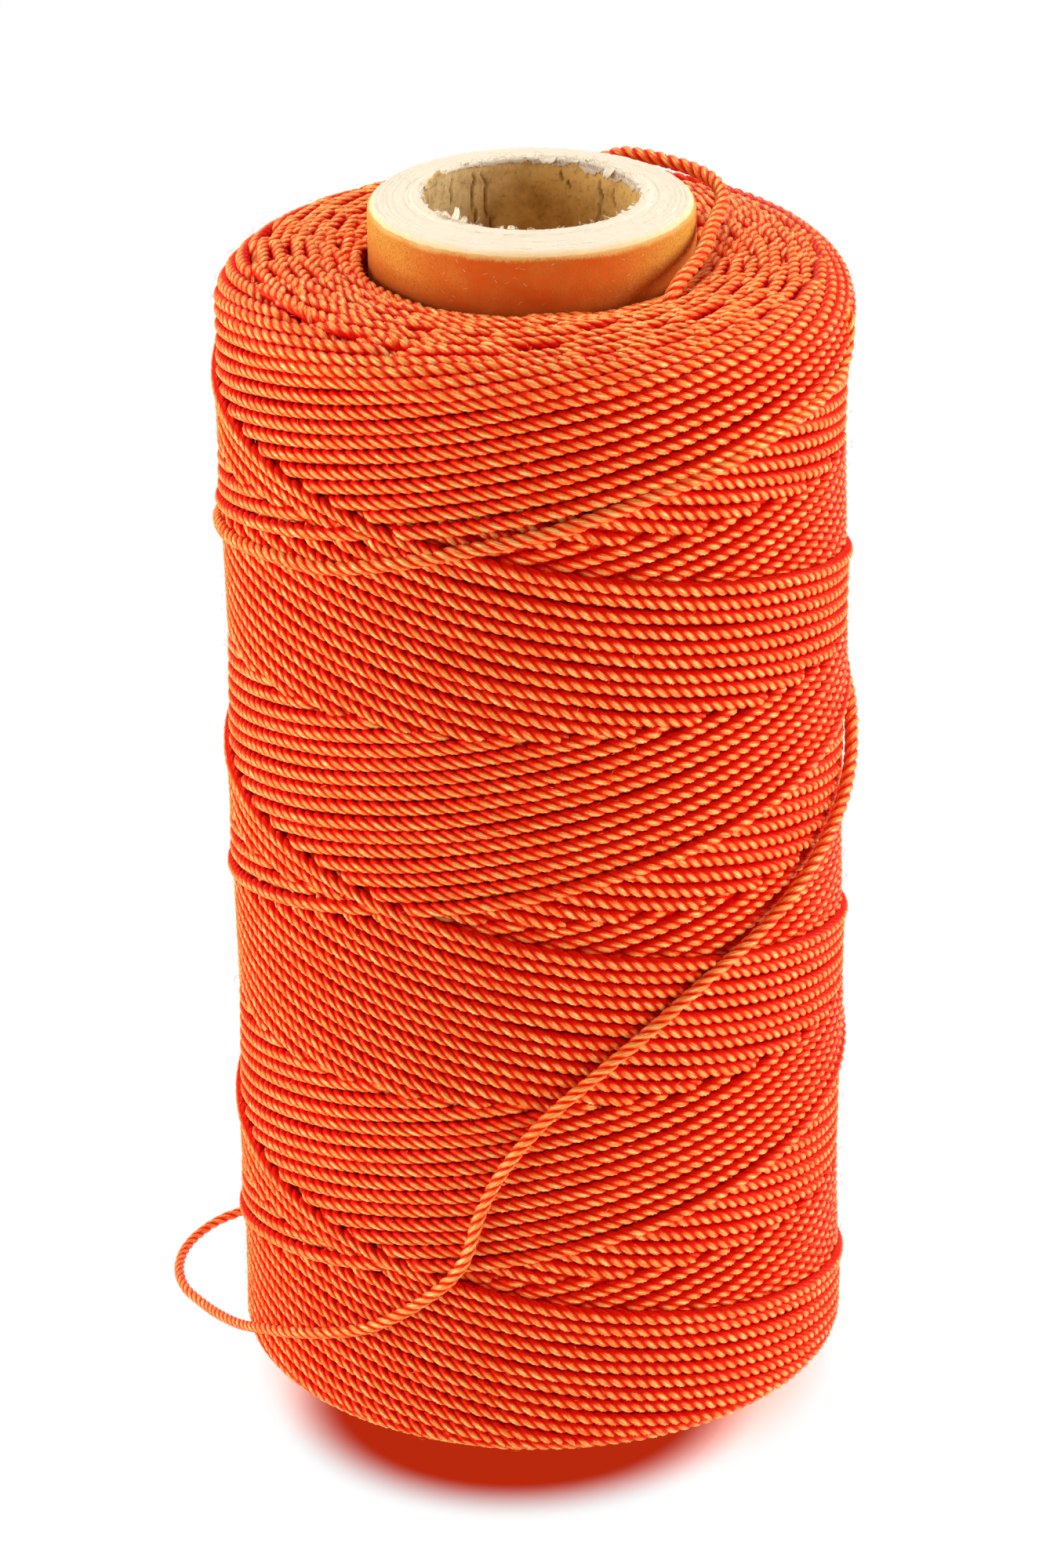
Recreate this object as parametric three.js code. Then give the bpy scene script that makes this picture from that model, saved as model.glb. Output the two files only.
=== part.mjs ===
// Thread spool: a paper tube with a package of cross-wound three-ply thread. Millimetres, +Z up.
// The origin is on the axis, in the plane that the tube stands on. Azimuths are in degrees from +X towards +Y.
import * as THREE from "three";

// Driving dimensions
const tubeLength = 101.6;
const tubeOuterRadius = 12.7;
const boreRadius = 8.55;
const linerThickness = 0.6;
const wrapThickness = 0.45;
const glueLine = 0.15; // between one ply of the tube and the next
const skinRecess = 0.2; // how far the liner and the wrap stop short of the board's end faces
const threadDiameter = 1.2;
const packageRadius = 24.3; // to the outside of the topmost turns
const bottomReveal = 3.5; // tube left bare below the package
const topReveal = 3.6; // and above its highest ring
const topShoulderWidth = 7.6;
const topShoulderHeight = 5;
const topDish = 1; // how far the top sinks from that ring to the tube
const bottomShoulderWidth = 3.6;
const bottomShoulderHeight = 1.5;
const turnsPerPass = 2.875; // an odd number of eighths, so that four passes each way space themselves evenly
const passPairs = 4;
const reversalRounding = 22.5; // degrees on each side of a reversal
const reversalInset = 1.4; // from the package's ends to where the passes turn back
const crossingDepth = 0.65; // clear gap where one pass goes over another
const seatGap = 0.3; // between a turn and what it lies on
const firstReversalAzimuth = 358;
const tailExitAzimuth = -1.4; // where the last turn ends and the tail comes free
const tailExitHeight = 57.6;
const tailExitFall = 33.6; // degrees below level

const stepsPerTurn = 24;
const threadSides = 6;
const tailSides = 8;
const tailStep = 2.6 * threadDiameter;
const tubeSegments = 64;
const bodySegments = 48;

// Worked out from them
const threadRadius = threadDiameter / 2;
const packageTop = tubeLength - topReveal;
const packageBottom = bottomReveal;
const overPass = packageRadius - threadRadius; // centre of the passes that lie on top
const underPass = overPass - threadDiameter - crossingDepth;
const chordSag = overPass * (1 - Math.cos(Math.PI / stepsPerTurn));
const bodyRadius = underPass - threadRadius - seatGap - chordSag;
const lyingTurn = packageRadius + seatGap + threadRadius; // centre of a turn that lies on the package
const bodyBore = tubeOuterRadius + seatGap;

// The free tail from where it leaves the package, at the right, down the front to the standing surface at the left.
const tailRoute = [
  [25.2, -0.6, 57.6], [25.0, -3.6, 55.6], [24.2, -7.0, 53.6], [22.5, -11.4, 51.7], [20.0, -15.4, 49.5],
  [17.0, -18.6, 47.4], [13.4, -21.4, 45.3], [8.4, -23.8, 41.6], [4.4, -24.8, 38.4], [0.6, -25.2, 35.0],
  [-2.8, -25.1, 30.6], [-4.8, -24.8, 26.5], [-6.3, -24.5, 21.7], [-8.5, -23.8, 18.7], [-13.6, -21.3, 14.2],
  [-17.2, -18.6, 12.1], [-20.6, -14.8, 10.0], [-23.2, -10.4, 7.9], [-24.9, -6.4, 5.9], [-26.8, -1.8, 4.1],
  [-28.6, 2.9, 2.6], [-30.5, 7.6, 1.7], [-31.2, 12.4, 1.1], [-30.5, 17.0, 0.75], [-28.2, 21.0, 0.65],
  [-24.6, 23.6, 0.65], [-20.2, 25.4, 0.65], [-15.6, 26.6, 0.65],
];

const rad = THREE.MathUtils.degToRad;
const clamp = THREE.MathUtils.clamp;
const polar = (radius, azimuth, z) =>
  new THREE.Vector3(radius * Math.cos(rad(azimuth)), radius * Math.sin(rad(azimuth)), z);

const finishes = {
  liner: { color: 0x9e8258, roughness: 0.95 },
  board: { color: 0xf6e8d2, roughness: 0.9 },
  wrap: { color: 0xd08a3c, roughness: 0.7 },
  innerThread: { color: 0xc9391a, roughness: 0.6 },
  thread: { color: 0xee6a26, roughness: 0.45 },
};

function part(name, geometry, finish) {
  const mesh = new THREE.Mesh(geometry, new THREE.MeshStandardMaterial({ ...finish, metalness: 0 }));
  mesh.name = name;
  return mesh;
}

// A body of revolution about Z from a closed outline of [radius, height], which runs anticlockwise.
function revolved(outline, segments) {
  const points = [...outline, outline[0]].map(([radius, height]) => new THREE.Vector2(radius, height));
  return new THREE.LatheGeometry(points, segments).rotateX(Math.PI / 2);
}

function tubePly(inner, outer, recess) {
  return revolved(
    [[inner, recess], [outer, recess], [outer, tubeLength - recess], [inner, tubeLength - recess]],
    tubeSegments,
  );
}

// Half-width of the package at a height, with both shoulders.
function surfaceRadius(z) {
  const topSide = packageTop - topShoulderHeight;
  const bottomSide = packageBottom + bottomShoulderHeight;
  if (z > topSide) {
    const rise = clamp((z - topSide) / topShoulderHeight, 0, 1);
    return packageRadius - shoulderWidth() * (1 - Math.sqrt(1 - rise * rise));
  }
  if (z < bottomSide) {
    const drop = clamp((bottomSide - z) / bottomShoulderHeight, 0, 1);
    return packageRadius - bottomShoulderWidth * (1 - Math.sqrt(1 - drop * drop));
  }
  return packageRadius;
}

// The top shoulder stops short of the tube.
function shoulderWidth() {
  return Math.min(topShoulderWidth, 0.68 * (packageRadius - bodyBore));
}

// Height of the package's top at a radius, from the tube over the crest and down the shoulder.
function topHeight(radius) {
  const crest = packageRadius - shoulderWidth();
  if (radius < crest) {
    const inward = (crest - radius) / (crest - bodyBore);
    return packageTop - topDish * inward * inward;
  }
  const outward = clamp((radius - crest) / shoulderWidth(), 0, 1);
  return packageTop - topShoulderHeight * (1 - Math.sqrt(1 - outward * outward));
}

// The inner layers of thread: a plain body under the outer turns, with the package's own ends.
function underLayers() {
  const outline = [[bodyBore, packageBottom], [bodyRadius - 1, packageBottom], [bodyRadius, packageBottom + 1]];
  const rings = 8;
  for (let i = 0; i <= rings; i++) {
    const radius = THREE.MathUtils.lerp(bodyRadius, bodyBore, i / rings);
    outline.push([radius, topHeight(radius)]);
  }
  return revolved(outline, bodySegments);
}

// A closed round tube along points, turned as little as possible from ring to ring, with flat ends.
function threadAlong(points, radius, sides) {
  const count = points.length;
  const tangents = points.map((_, i) =>
    points[Math.min(i + 1, count - 1)].clone().sub(points[Math.max(i - 1, 0)]).normalize());
  tangents[0] = points[1].clone().sub(points[0]).normalize();
  tangents[count - 1] = points[count - 1].clone().sub(points[count - 2]).normalize();
  const normal = new THREE.Vector3(0, 0, 1).cross(tangents[0]);
  if (normal.length() < 0.1) normal.set(1, 0, 0);
  const positions = [];
  const turn = new THREE.Quaternion();
  points.forEach((point, i) => {
    if (i) normal.applyQuaternion(turn.setFromUnitVectors(tangents[i - 1], tangents[i]));
    normal.addScaledVector(tangents[i], -normal.dot(tangents[i])).normalize();
    const side = tangents[i].clone().cross(normal);
    for (let j = 0; j < sides; j++) {
      const angle = (2 * Math.PI * j) / sides;
      positions.push(point.clone()
        .addScaledVector(normal, radius * Math.cos(angle))
        .addScaledVector(side, radius * Math.sin(angle)));
    }
  });
  const faces = [];
  for (let i = 0; i + 1 < count; i++) {
    for (let j = 0; j < sides; j++) {
      const a = i * sides + j;
      const b = i * sides + ((j + 1) % sides);
      faces.push(a, b, b + sides, a, b + sides, a + sides);
    }
  }
  const last = (count - 1) * sides;
  for (let j = 1; j + 1 < sides; j++) faces.push(0, j + 1, j, last, last + j, last + j + 1);
  const geometry = new THREE.BufferGeometry().setFromPoints(positions);
  geometry.setIndex(faces);
  geometry.computeVertexNormals();
  return geometry;
}

// The least clear gap between stretches of one tube that are further apart along it than reach.
function leastGap(points, reach) {
  const fine = [];
  const along = [];
  let length = 0;
  for (let i = 0; i + 1 < points.length; i++) {
    const step = points[i].distanceTo(points[i + 1]);
    for (let k = 0; k < 4; k++) {
      fine.push(points[i].clone().lerp(points[i + 1], k / 4));
      along.push(length + (step * k) / 4);
    }
    length += step;
  }
  let least = Infinity;
  for (let i = 0; i < fine.length; i++)
    for (let j = i + 1; j < fine.length; j++)
      if (along[j] - along[i] > reach) least = Math.min(least, fine[i].distanceTo(fine[j]));
  return least - threadDiameter;
}

// How far a pass has moved from its reversal after some degrees, with the corner rounded off.
function awayFromReversal(degrees) {
  const w = reversalRounding;
  return degrees > w ? degrees : (degrees * degrees + w * w) / (2 * w);
}

// The outer turns: passes that climb lie over the passes that fall, and cross from one depth to the other as they turn back.
function outerTurns() {
  const low = packageBottom + reversalInset;
  const high = packageTop - topShoulderHeight / 2 - reversalInset / 4;
  const passDegrees = 360 * turnsPerPass;
  const lead = (high - low) / turnsPerPass;
  const stepDegrees = 360 / stepsPerTurn;
  const endRoom = stepDegrees; // left open where the last pass would meet the first
  const depthChange = 2 * stepDegrees; // on each side of a reversal
  const points = [];
  for (let d = stepDegrees; d <= 2 * passPairs * passDegrees - endRoom; d += stepDegrees) {
    const climbed = d % (2 * passDegrees);
    const fromLow = Math.min(climbed, 2 * passDegrees - climbed);
    const fromHigh = passDegrees - fromLow;
    const z = fromLow < fromHigh
      ? low + (lead * awayFromReversal(fromLow)) / 360
      : high - (lead * awayFromReversal(fromHigh)) / 360;
    const climbing = climbed < passDegrees ? 1 : -1;
    const settled = clamp(Math.min(fromLow, fromHigh) / depthChange, 0, 1) * climbing;
    const left = 2 * passPairs * passDegrees - endRoom - d;
    const endLift = clamp(1 - left / depthChange, 0, 1); // the last end comes up level with the first
    const depth = Math.max(endLift, 0.5 + 0.5 * settled);
    const shrink = packageRadius - surfaceRadius(z);
    points.push(polar(THREE.MathUtils.lerp(underPass, overPass, depth) - shrink, firstReversalAzimuth + d, z));
  }
  return [...rootedEnd(points[0]), ...points, ...rootedEnd(points.at(-1)).reverse()];
}

// An end that comes straight out of the inner layers for one thread diameter, level and square to them.
function rootedEnd(next) {
  const azimuth = THREE.MathUtils.radToDeg(Math.atan2(next.y, next.x));
  const foot = bodyRadius + seatGap;
  return [polar(foot, azimuth, next.z), polar(foot + threadDiameter, azimuth, next.z)];
}

// The last turn: out at the top shoulder, down and round the package to where the tail comes free.
function crossingTurn() {
  const tailExit = polar(lyingTurn, tailExitAzimuth, tailExitHeight);
  const heading = polar(Math.cos(rad(tailExitFall)), tailExitAzimuth - 90, -Math.sin(rad(tailExitFall)));
  const end = tailExit.clone().addScaledVector(heading, -seatGap);
  const straight = end.clone().addScaledVector(heading, -threadDiameter);
  const top = packageTop - topShoulderHeight + threadRadius;
  // azimuth, from the right round the front, the left and the back, and share of the way down to the tail
  const stations = [
    [-2, 0], [-10, 0.06], [-22, 0.1], [-43, 0.14], [-66, 0.2], [-90, 0.28], [-116, 0.37], [-145, 0.43],
    [-177, 0.49], [-225, 0.61], [-270, 0.72], [-315, 0.84], [-342, 0.93],
  ].map(([azimuth, share]) => new THREE.Vector2(azimuth, THREE.MathUtils.lerp(top, straight.z, share)));
  const lying = new THREE.SplineCurve(stations).getSpacedPoints(stepsPerTurn + 4)
    .map(({ x: azimuth, y: z }) => polar(lyingTurn, azimuth, z));
  return [...rootedEnd(lying[0]), ...lying, straight, end];
}

// The slack turn that lies loose round the bare end of the tube, from the back to the front right.
function slackTurn() {
  const loose = tubeOuterRadius + threadRadius;
  // azimuth, slack beyond the tube and height above the lowest it can lie
  const stations = [
    [112, 1.4, 0.9], [100, 1.2, 1.5], [80, 1.0, 2.0], [61, 1.0, 2.1], [47, 1.1, 2.1], [36, 1.9, 2.0], [25, 2.2, 1.8],
    [12, 1.6, 1.5], [0, 0.9, 1.2], [-12, 0.45, 0.8], [-24, 0.45, 0.6], [-36, 0.9, 0.5], [-45, 1.5, 0.7],
  ];
  const at = ([azimuth, slack, rise]) =>
    polar(loose + slack, azimuth, topHeight(loose + slack) + seatGap + threadRadius + rise);
  const foot = ([azimuth, slack], lift) => {
    const aside = azimuth + Math.sign(azimuth) * 7;
    return polar(loose + slack, aside, packageTop + seatGap + lift);
  };
  const curve = new THREE.CatmullRomCurve3(
    [foot(stations[0], threadDiameter), ...stations.map(at), foot(stations.at(-1), threadDiameter)],
    false,
    "centripetal",
  );
  return [foot(stations[0], 0), ...curve.getPoints(stepsPerTurn), foot(stations.at(-1), 0)];
}

function freeTail() {
  const curve = new THREE.CatmullRomCurve3(tailRoute.map((p) => new THREE.Vector3(...p)), false, "centripetal");
  const section = new THREE.Shape();
  for (let j = 0; j < tailSides; j++) {
    const angle = (2 * Math.PI * j) / tailSides;
    section[j ? "lineTo" : "moveTo"](threadRadius * Math.cos(angle), threadRadius * Math.sin(angle));
  }
  const steps = Math.round(curve.getLength() / tailStep);
  return new THREE.ExtrudeGeometry(section, { steps, extrudePath: curve, curveSegments: 1 });
}

function reportGap(name, points) {
  console.log(`${name}: least gap to itself ${leastGap(points, 4 * threadDiameter).toFixed(3)} mm`);
  return threadAlong(points, threadRadius, threadSides);
}

const spool = new THREE.Group();
const tube = new THREE.Group();
const linerOuter = boreRadius + linerThickness;
const wrapInner = tubeOuterRadius - wrapThickness;
tube.add(part("core_liner_ply", tubePly(boreRadius, linerOuter, skinRecess), finishes.liner));
tube.add(part("core_board_plies", tubePly(linerOuter + glueLine, wrapInner - glueLine, 0), finishes.board));
tube.add(part("core_outer_wrap", tubePly(wrapInner, tubeOuterRadius, skinRecess), finishes.wrap));
spool.add(tube);

const winding = new THREE.Group();
winding.add(part("thread_under_layers", underLayers(), finishes.innerThread));
winding.add(part("thread_outer_winding", reportGap("thread_outer_winding", outerTurns()), finishes.thread));
winding.add(part("thread_crossing_turn", reportGap("thread_crossing_turn", crossingTurn()), finishes.thread));
winding.add(part("thread_slack_turn", reportGap("thread_slack_turn", slackTurn()), finishes.thread));
winding.add(part("thread_free_tail", freeTail(), finishes.thread));
spool.add(winding);

export default spool;
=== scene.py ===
"""A spool of waxed three-ply thread: a paper tube with a cross-wound package and its loose end.

Metres, +Z up, the tube's axis on Z. Bearings are in degrees from the front (-Y) towards +X.
"""
import math

import bpy
import numpy as np
from mathutils import Matrix, Vector


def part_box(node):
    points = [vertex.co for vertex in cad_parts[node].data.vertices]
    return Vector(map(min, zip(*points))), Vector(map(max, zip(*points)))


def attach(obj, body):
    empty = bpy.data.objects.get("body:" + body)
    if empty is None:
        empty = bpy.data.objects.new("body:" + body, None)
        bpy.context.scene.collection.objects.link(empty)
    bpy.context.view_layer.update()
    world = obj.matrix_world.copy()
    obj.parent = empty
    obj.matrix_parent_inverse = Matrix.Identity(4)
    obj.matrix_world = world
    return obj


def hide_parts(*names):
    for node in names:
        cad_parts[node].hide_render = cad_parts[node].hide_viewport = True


bl_info = {
    "name": "Thread Spool",
    "version": (1, 0, 0),
    "blender": (4, 5, 0),
    "location": "3D View > Sidebar > Spool",
    "description": "A paper tube wound with twisted thread, with its loose end",
    "category": "Object",
}

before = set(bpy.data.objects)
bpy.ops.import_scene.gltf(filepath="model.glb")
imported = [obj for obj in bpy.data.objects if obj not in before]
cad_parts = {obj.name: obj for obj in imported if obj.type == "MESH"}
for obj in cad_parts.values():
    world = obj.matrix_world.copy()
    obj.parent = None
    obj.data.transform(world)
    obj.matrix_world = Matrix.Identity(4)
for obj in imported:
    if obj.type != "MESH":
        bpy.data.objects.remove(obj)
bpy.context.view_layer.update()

MM = 0.001
TUBE_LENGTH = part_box("core_board_plies")[1].z
TUBE_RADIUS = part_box("core_outer_wrap")[1].x

# The loose end's way from the package's right side, down its front and out to the left on the table.
TAIL_ROUTE = [
    (25.2, -0.6, 57.6), (25.0, -3.6, 55.6), (24.2, -7.0, 53.6), (22.5, -11.4, 51.7),
    (20.0, -15.4, 49.5), (17.0, -18.6, 47.4), (13.4, -21.4, 45.3), (8.4, -23.8, 41.6),
    (4.4, -24.8, 38.4), (0.6, -25.2, 35.0), (-2.8, -25.1, 30.6), (-4.8, -24.8, 26.5),
    (-6.3, -24.5, 21.7), (-8.5, -23.8, 18.7), (-13.6, -21.3, 14.2), (-17.2, -18.6, 12.1),
    (-20.6, -14.8, 10.0), (-23.2, -10.4, 7.9), (-24.9, -6.4, 5.9), (-26.8, -1.8, 4.1),
    (-28.6, 2.9, 2.6), (-30.5, 7.6, 1.7), (-31.2, 12.4, 1.1), (-30.5, 17.0, 0.75),
    (-28.2, 21.0, 0.65), (-24.6, 23.6, 0.65), (-20.2, 25.4, 0.65), (-15.6, 26.6, 0.65),
]

# The last turn over the package: bearing and height, down from the top shoulder to where the tail starts.
CROSSING_TURN = [
    (80, 96.6), (78.5, 94.6), (77.6, 92.0), (74, 90.4), (64, 89.6), (47, 88.6), (33, 87.2), (20, 86.0),
    (2, 83.8), (-12, 82.3), (-26, 80.5), (-40, 78.9), (-55, 78.1), (-72, 76.9), (-87, 76.0), (-110, 74.2),
    (-137, 71.9), (-182, 68.2), (-227, 64.0), (-252, 60.9), (-262, 59.4), (-267.5, 58.35), (-271.3, 57.62),
]

# The slack turn beside the tube: place of its centre, from behind the tube to where it goes under.
SLACK_TURN = [
    (3.8, 13.8, 99.2), (5.8, 13.1, 100.4), (7.3, 12.2, 101.1), (8.6, 11.4, 101.2), (9.9, 10.6, 101.2),
    (11.2, 9.7, 101.1), (12.6, 8.6, 101.0), (13.9, 7.0, 100.8), (14.7, 5.2, 100.5), (14.8, 2.8, 100.2),
    (14.4, 0.7, 99.9), (13.8, -1.7, 99.6), (13.4, -3.9, 99.3), (12.9, -5.8, 99.0), (12.2, -7.7, 98.7),
    (11.4, -9.4, 98.4), (10.7, -11.0, 97.9), (9.6, -12.9, 96.6),
]

# Cracks in the liner: bearing and height where each starts, and where it ends.
CRACKS = (
    (-110, 101.2, -112, 99.6), (-118, 99.2, -116, 98.0), (-132, 101.3, -134, 99.4),
    (-147, 101.4, -149.5, 94.6), (-153, 101.5, -160, 94.0), (164, 101.3, 160, 99.7),
    (140, 101.2, 142.5, 94.8), (130, 100.7, 131, 98.9), (-22, 101.3, -26, 95.5),
    (34, 101.0, 31, 97.6), (71, 101.3, 73, 96.8), (-64, 101.2, -61, 98.3),
)

# Torn places round the top of the bore: first and last bearing, how far the white tear runs down the wall.
TEARS = ((102, 152, 0.85), (160, 186, 0.45), (-60, -38, 0.35), (-175, -150, 0.25))
# Bearings between which the liner stands up instead.
LIFTED = (-126, -100)
# How many fibres and small scraps lie on the wrap and round the torn edge.
WRAP_FIBRES = 170
EDGE_SCRAPS = 30
EDGE_FIBRES = 900
# Where the edge is most frayed: bearing and spread of its fibres.
FRAYED = ((150, 22), (-48, 9))
# The larger scraps at the bore's edge: bearing and width in degrees, rise and lean inwards in millimetres,
# and the seed of their ragged edge.
FLAPS = ((-43, 5.0, 0.90, 0.25, 81), (-49, 5.5, 0.50, -0.20, 82), (-38, 4.0, 0.35, 0.30, 86),
         (133, 7.0, -0.75, 0.55, 83), (171, 9.0, -0.40, 0.35, 84))


def number_value(name, description, default, **more):
    return bpy.props.FloatProperty(name=name, description=description, default=default, **more)


def count_value(name, description, default):
    return bpy.props.IntProperty(name=name, description=description, default=default)


def length_value(name, description, millimetres):
    return number_value(name, description, millimetres * MM, min=0.0, unit="LENGTH", subtype="DISTANCE",
                        precision=5)


def colour_value(name, description, *default):
    return bpy.props.FloatVectorProperty(
        name=name, description=description, default=default, min=0.0, max=1.0, subtype="COLOR", size=3)


class SpoolThreadSettings(bpy.types.PropertyGroup):
    """The thread itself"""

    diameter: length_value("Diameter", "Across the three plies", 1.2)
    lay: length_value("Lay", "Length of one full twist of the plies", 3.25)
    ply_offset: number_value("Ply offset", "Thread axis to ply axis, in diameters", 0.195)
    ply_radius: number_value("Ply radius", "Half of a ply's thickness, in diameters", 0.31)
    squeezed: number_value("Squeezed", "Width of a turn pressed against its neighbours, in diameters", 1.01)
    colour: colour_value("Colour", "Dye on the outside of the plies", 1.0, 0.040, 0.0015)
    # Pale colour on the plies' crowns: partly the filaments' own paler colour, partly a painted highlight.
    pale: colour_value("Worn filaments", "Filaments that stand out", 1.0, 0.42, 0.08)
    # Deep colour: darker dye along some lengths, and painted shade in the grooves between plies and on the
    # sides of each turn.
    dark_dye_and_shade: colour_value("Deep colour", "Dye in the grooves", 0.82, 0.004, 0.0004)
    gloss: colour_value("Gloss", "Tint of the shine on the filaments", 1.0, 0.66, 0.18)
    roughness: number_value("Roughness", "Of the filaments", 0.36)
    satin: number_value("Satin", "How much the plies' crowns shine in their own colour", 0.15)
    fibres: count_value("Loose fibres", "Fine broken filaments that stand off the package", 1500)


class SpoolWindingSettings(bpy.types.PropertyGroup):
    """How the package is wound"""

    radius: length_value("Radius", "To the outside of the newest turns", 24.92)
    top: length_value("Top", "Height of the package's highest ring", 98.0)
    bottom: length_value("Bottom", "Height of the package's underside", 3.5)
    top_shoulder_width: length_value("Top shoulder width", "Rounded top edge, across", 7.6)
    top_shoulder_height: length_value("Top shoulder height", "Rounded top edge, in height", 4.0)
    top_dish: length_value("Top dish", "How far the top sinks to the tube", 1.0)
    bottom_shoulder_width: length_value("Bottom shoulder width", "Bottom edge, across", 3.6)
    bottom_shoulder_height: length_value("Bottom shoulder height", "Bottom edge, in height", 1.5)
    lead: length_value("Lead", "Height that the thread climbs in one turn", 31.45)
    passes: count_value("Passes", "Passes side by side in one lead", 26)
    growth: length_value("Growth", "Thickness that one full set of passes adds", 0.60)
    newest_fall: length_value("Newest falling pass", "Its height at the front", 48.9)
    newest_rise: length_value("Newest rising pass", "Its height at the front", 53.8)
    turns: count_value("Turns", "Turns in one pass", 3)
    end_pitch: length_value("End pitch", "How far each older set of passes turns back further in", 1.26)
    end_sets: count_value("End sets", "Sets of passes whose turning points show on an end", 8)
    top_passes: count_value("Top passes", "Older passes that fill the top up to the tube", 12)
    bottom_passes: count_value("Bottom passes", "Older passes that fill the underside up to the tube", 46)
    end_rounding: number_value("End rounding", "Degrees over which a pass turns back", 10.0)


class SpoolTubeSettings(bpy.types.PropertyGroup):
    """The paper tube"""

    bore_radius: length_value("Bore radius", "To the paper that lines the bore", 8.55)
    liner_thickness: length_value("Liner thickness", "Of the paper in the bore", 0.4)
    wrap_thickness: length_value("Wrap thickness", "Of the paper round the outside", 0.3)
    end_rise: length_value("End rise", "How far the bore's edge stands above the tube's outer edge", 0.48)
    ply: length_value("Board ply", "Thickness of one ply of the board", 0.42)
    board: colour_value("Board", "Cut end of the board", 0.94, 0.825, 0.65)
    board_shade: colour_value("Board shade", "Between the board's plies", 0.90, 0.70, 0.46)
    liner: colour_value("Liner", "Brown paper in the bore", 0.98, 0.61, 0.19)
    # Painted light: the bore's left side is painted paler and greyer.
    liner_painted_light: colour_value("Greyer liner", "Its left side", 0.92, 0.70, 0.33)
    liner_shade: colour_value("Liner shade", "Darker flecks and cracks", 0.40, 0.16, 0.035)
    wrap: colour_value("Wrap", "Golden brown paper round the outside", 0.72, 0.37, 0.06)
    wrap_shade: colour_value("Wrap shade", "Darker flecks", 0.50, 0.14, 0.015)
    # Painted reflection and painted shade: the thread's colour, darker, on the wrap just above the thread
    # and towards the front.
    wrap_painted_reflection: colour_value("Wrap stain", "Dye rubbed off beside the thread", 0.66, 0.046, 0.002)


class SpoolStageSettings(bpy.types.PropertyGroup):
    """Floor, lamps and camera"""

    floor: colour_value("Floor", "Pale table", 0.92, 0.90, 0.87)
    # Colour of the shadow painted on the table under the spool.
    painted_shadow_colour: colour_value("Thrown colour", "What the thread throws onto the table", 0.48, 0.022, 0.004)
    fill: number_value("Fill", "Strength of the world's light", 0.16)
    table_light: number_value("Table light", "How bright the lit table is to the spool", 1.40)
    top_power: number_value("Top lamp", "Power", 3.4, unit="POWER")
    side_power: number_value("Side lamps", "Power of each", 4.9, unit="POWER")
    distance: length_value("Camera distance", "From the camera to the point it looks at", 474.9)
    aim_side: number_value("Aim, sideways", "Where the camera looks", -0.997 * MM, unit="LENGTH")
    aim_height: length_value("Aim height", "Where the camera looks", 51.98)
    elevation: number_value("Elevation", "Of the camera", math.radians(24.676), subtype="ANGLE")
    roll: number_value("Roll", "Of the camera", math.radians(-0.648), subtype="ANGLE")
    focal: number_value("Focal length", "For a frame 36 mm high", 135.32)


def settings():
    scene = bpy.context.scene
    return scene.spool_thread, scene.spool_winding, scene.spool_tube, scene.spool_stage


def new_object(name, data):
    made = bpy.data.objects.new(name, data)
    bpy.context.scene.collection.objects.link(made)
    return made


# Thread: centrelines to three-ply tubes

RINGS_PER_LAY = 10
POINTS_PER_PLY = 5
SECTION = 3 * POINTS_PER_PLY
# Openness, which sets the painted shade and painted highlight, is greatest a little below the middle of a
# turn, as if the turn were lit from below; in radians.
PAINTED_LIGHT_TILT = 0.35
# A bare thread has no neighbours to shade its sides, so its openness, and with it its painted light, is at
# least this much all round.
BARE_OPENNESS = 0.72


def smooth_step(values, low, high):
    share = np.clip((values - low) / (high - low), 0.0, 1.0)
    return share * share * (3.0 - 2.0 * share)


def waver(along, seed, wavelength):
    """A smooth random value within about one of zero, the same for the same seed."""
    source = np.random.default_rng(seed)
    total = np.zeros_like(along)
    for octave in (1.0, 0.47, 0.23):
        phase, weight = source.uniform(0, 2 * math.pi), source.uniform(0.4, 1.0)
        total = total + weight * np.sin(2 * math.pi * along / (wavelength * octave) + phase) * octave ** 0.5
    return total / 1.7


def through_points(points, spacing):
    """A centripetal Catmull-Rom curve through the points, at an even spacing."""
    points = np.array(points, float)
    knots = np.vstack([2 * points[0] - points[1], points, 2 * points[-1] - points[-2]])
    fine = []
    for i in range(len(points) - 1):
        p = knots[i:i + 4]
        gaps = np.linalg.norm(np.diff(p, axis=0), axis=1) ** 0.5
        t = np.concatenate([[0.0], np.cumsum(gaps)])
        at = np.linspace(t[1], t[2], 24, endpoint=False)[:, None]
        a = [p[j] * (t[j + 1] - at) / gaps[j] + p[j + 1] * (at - t[j]) / gaps[j] for j in range(3)]
        b = [a[j] * (t[j + 2] - at) / (t[j + 2] - t[j]) + a[j + 1] * (at - t[j]) / (t[j + 2] - t[j])
             for j in range(2)]
        fine.append(b[0] * (t[2] - at) / gaps[1] + b[1] * (at - t[1]) / gaps[1])
    return evenly(np.vstack(fine + [points[-1:]]), spacing)


def run_along(line):
    """Distance from a line's start to each of its points."""
    return np.concatenate([[0.0], np.cumsum(np.linalg.norm(np.diff(line, axis=0), axis=1))])


def evenly(line, spacing, *others):
    """The line, and arrays that go with it, sampled again at an even spacing."""
    run = run_along(line)
    count = max(3, int(round(run[-1] / spacing)) + 1)
    at = np.linspace(0.0, run[-1], count)
    sampled = [np.stack([np.interp(at, run, column) for column in array.T], axis=1)
               for array in (line, *others)]
    return sampled if others else sampled[0]


def unit(vectors):
    return vectors / np.maximum(np.linalg.norm(vectors, axis=-1, keepdims=True), 1e-12)


def together(*arrays):
    """Stacks arrays along a last axis; shapes that differ are broadcast."""
    return np.stack(np.broadcast_arrays(*arrays), axis=-1)


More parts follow.
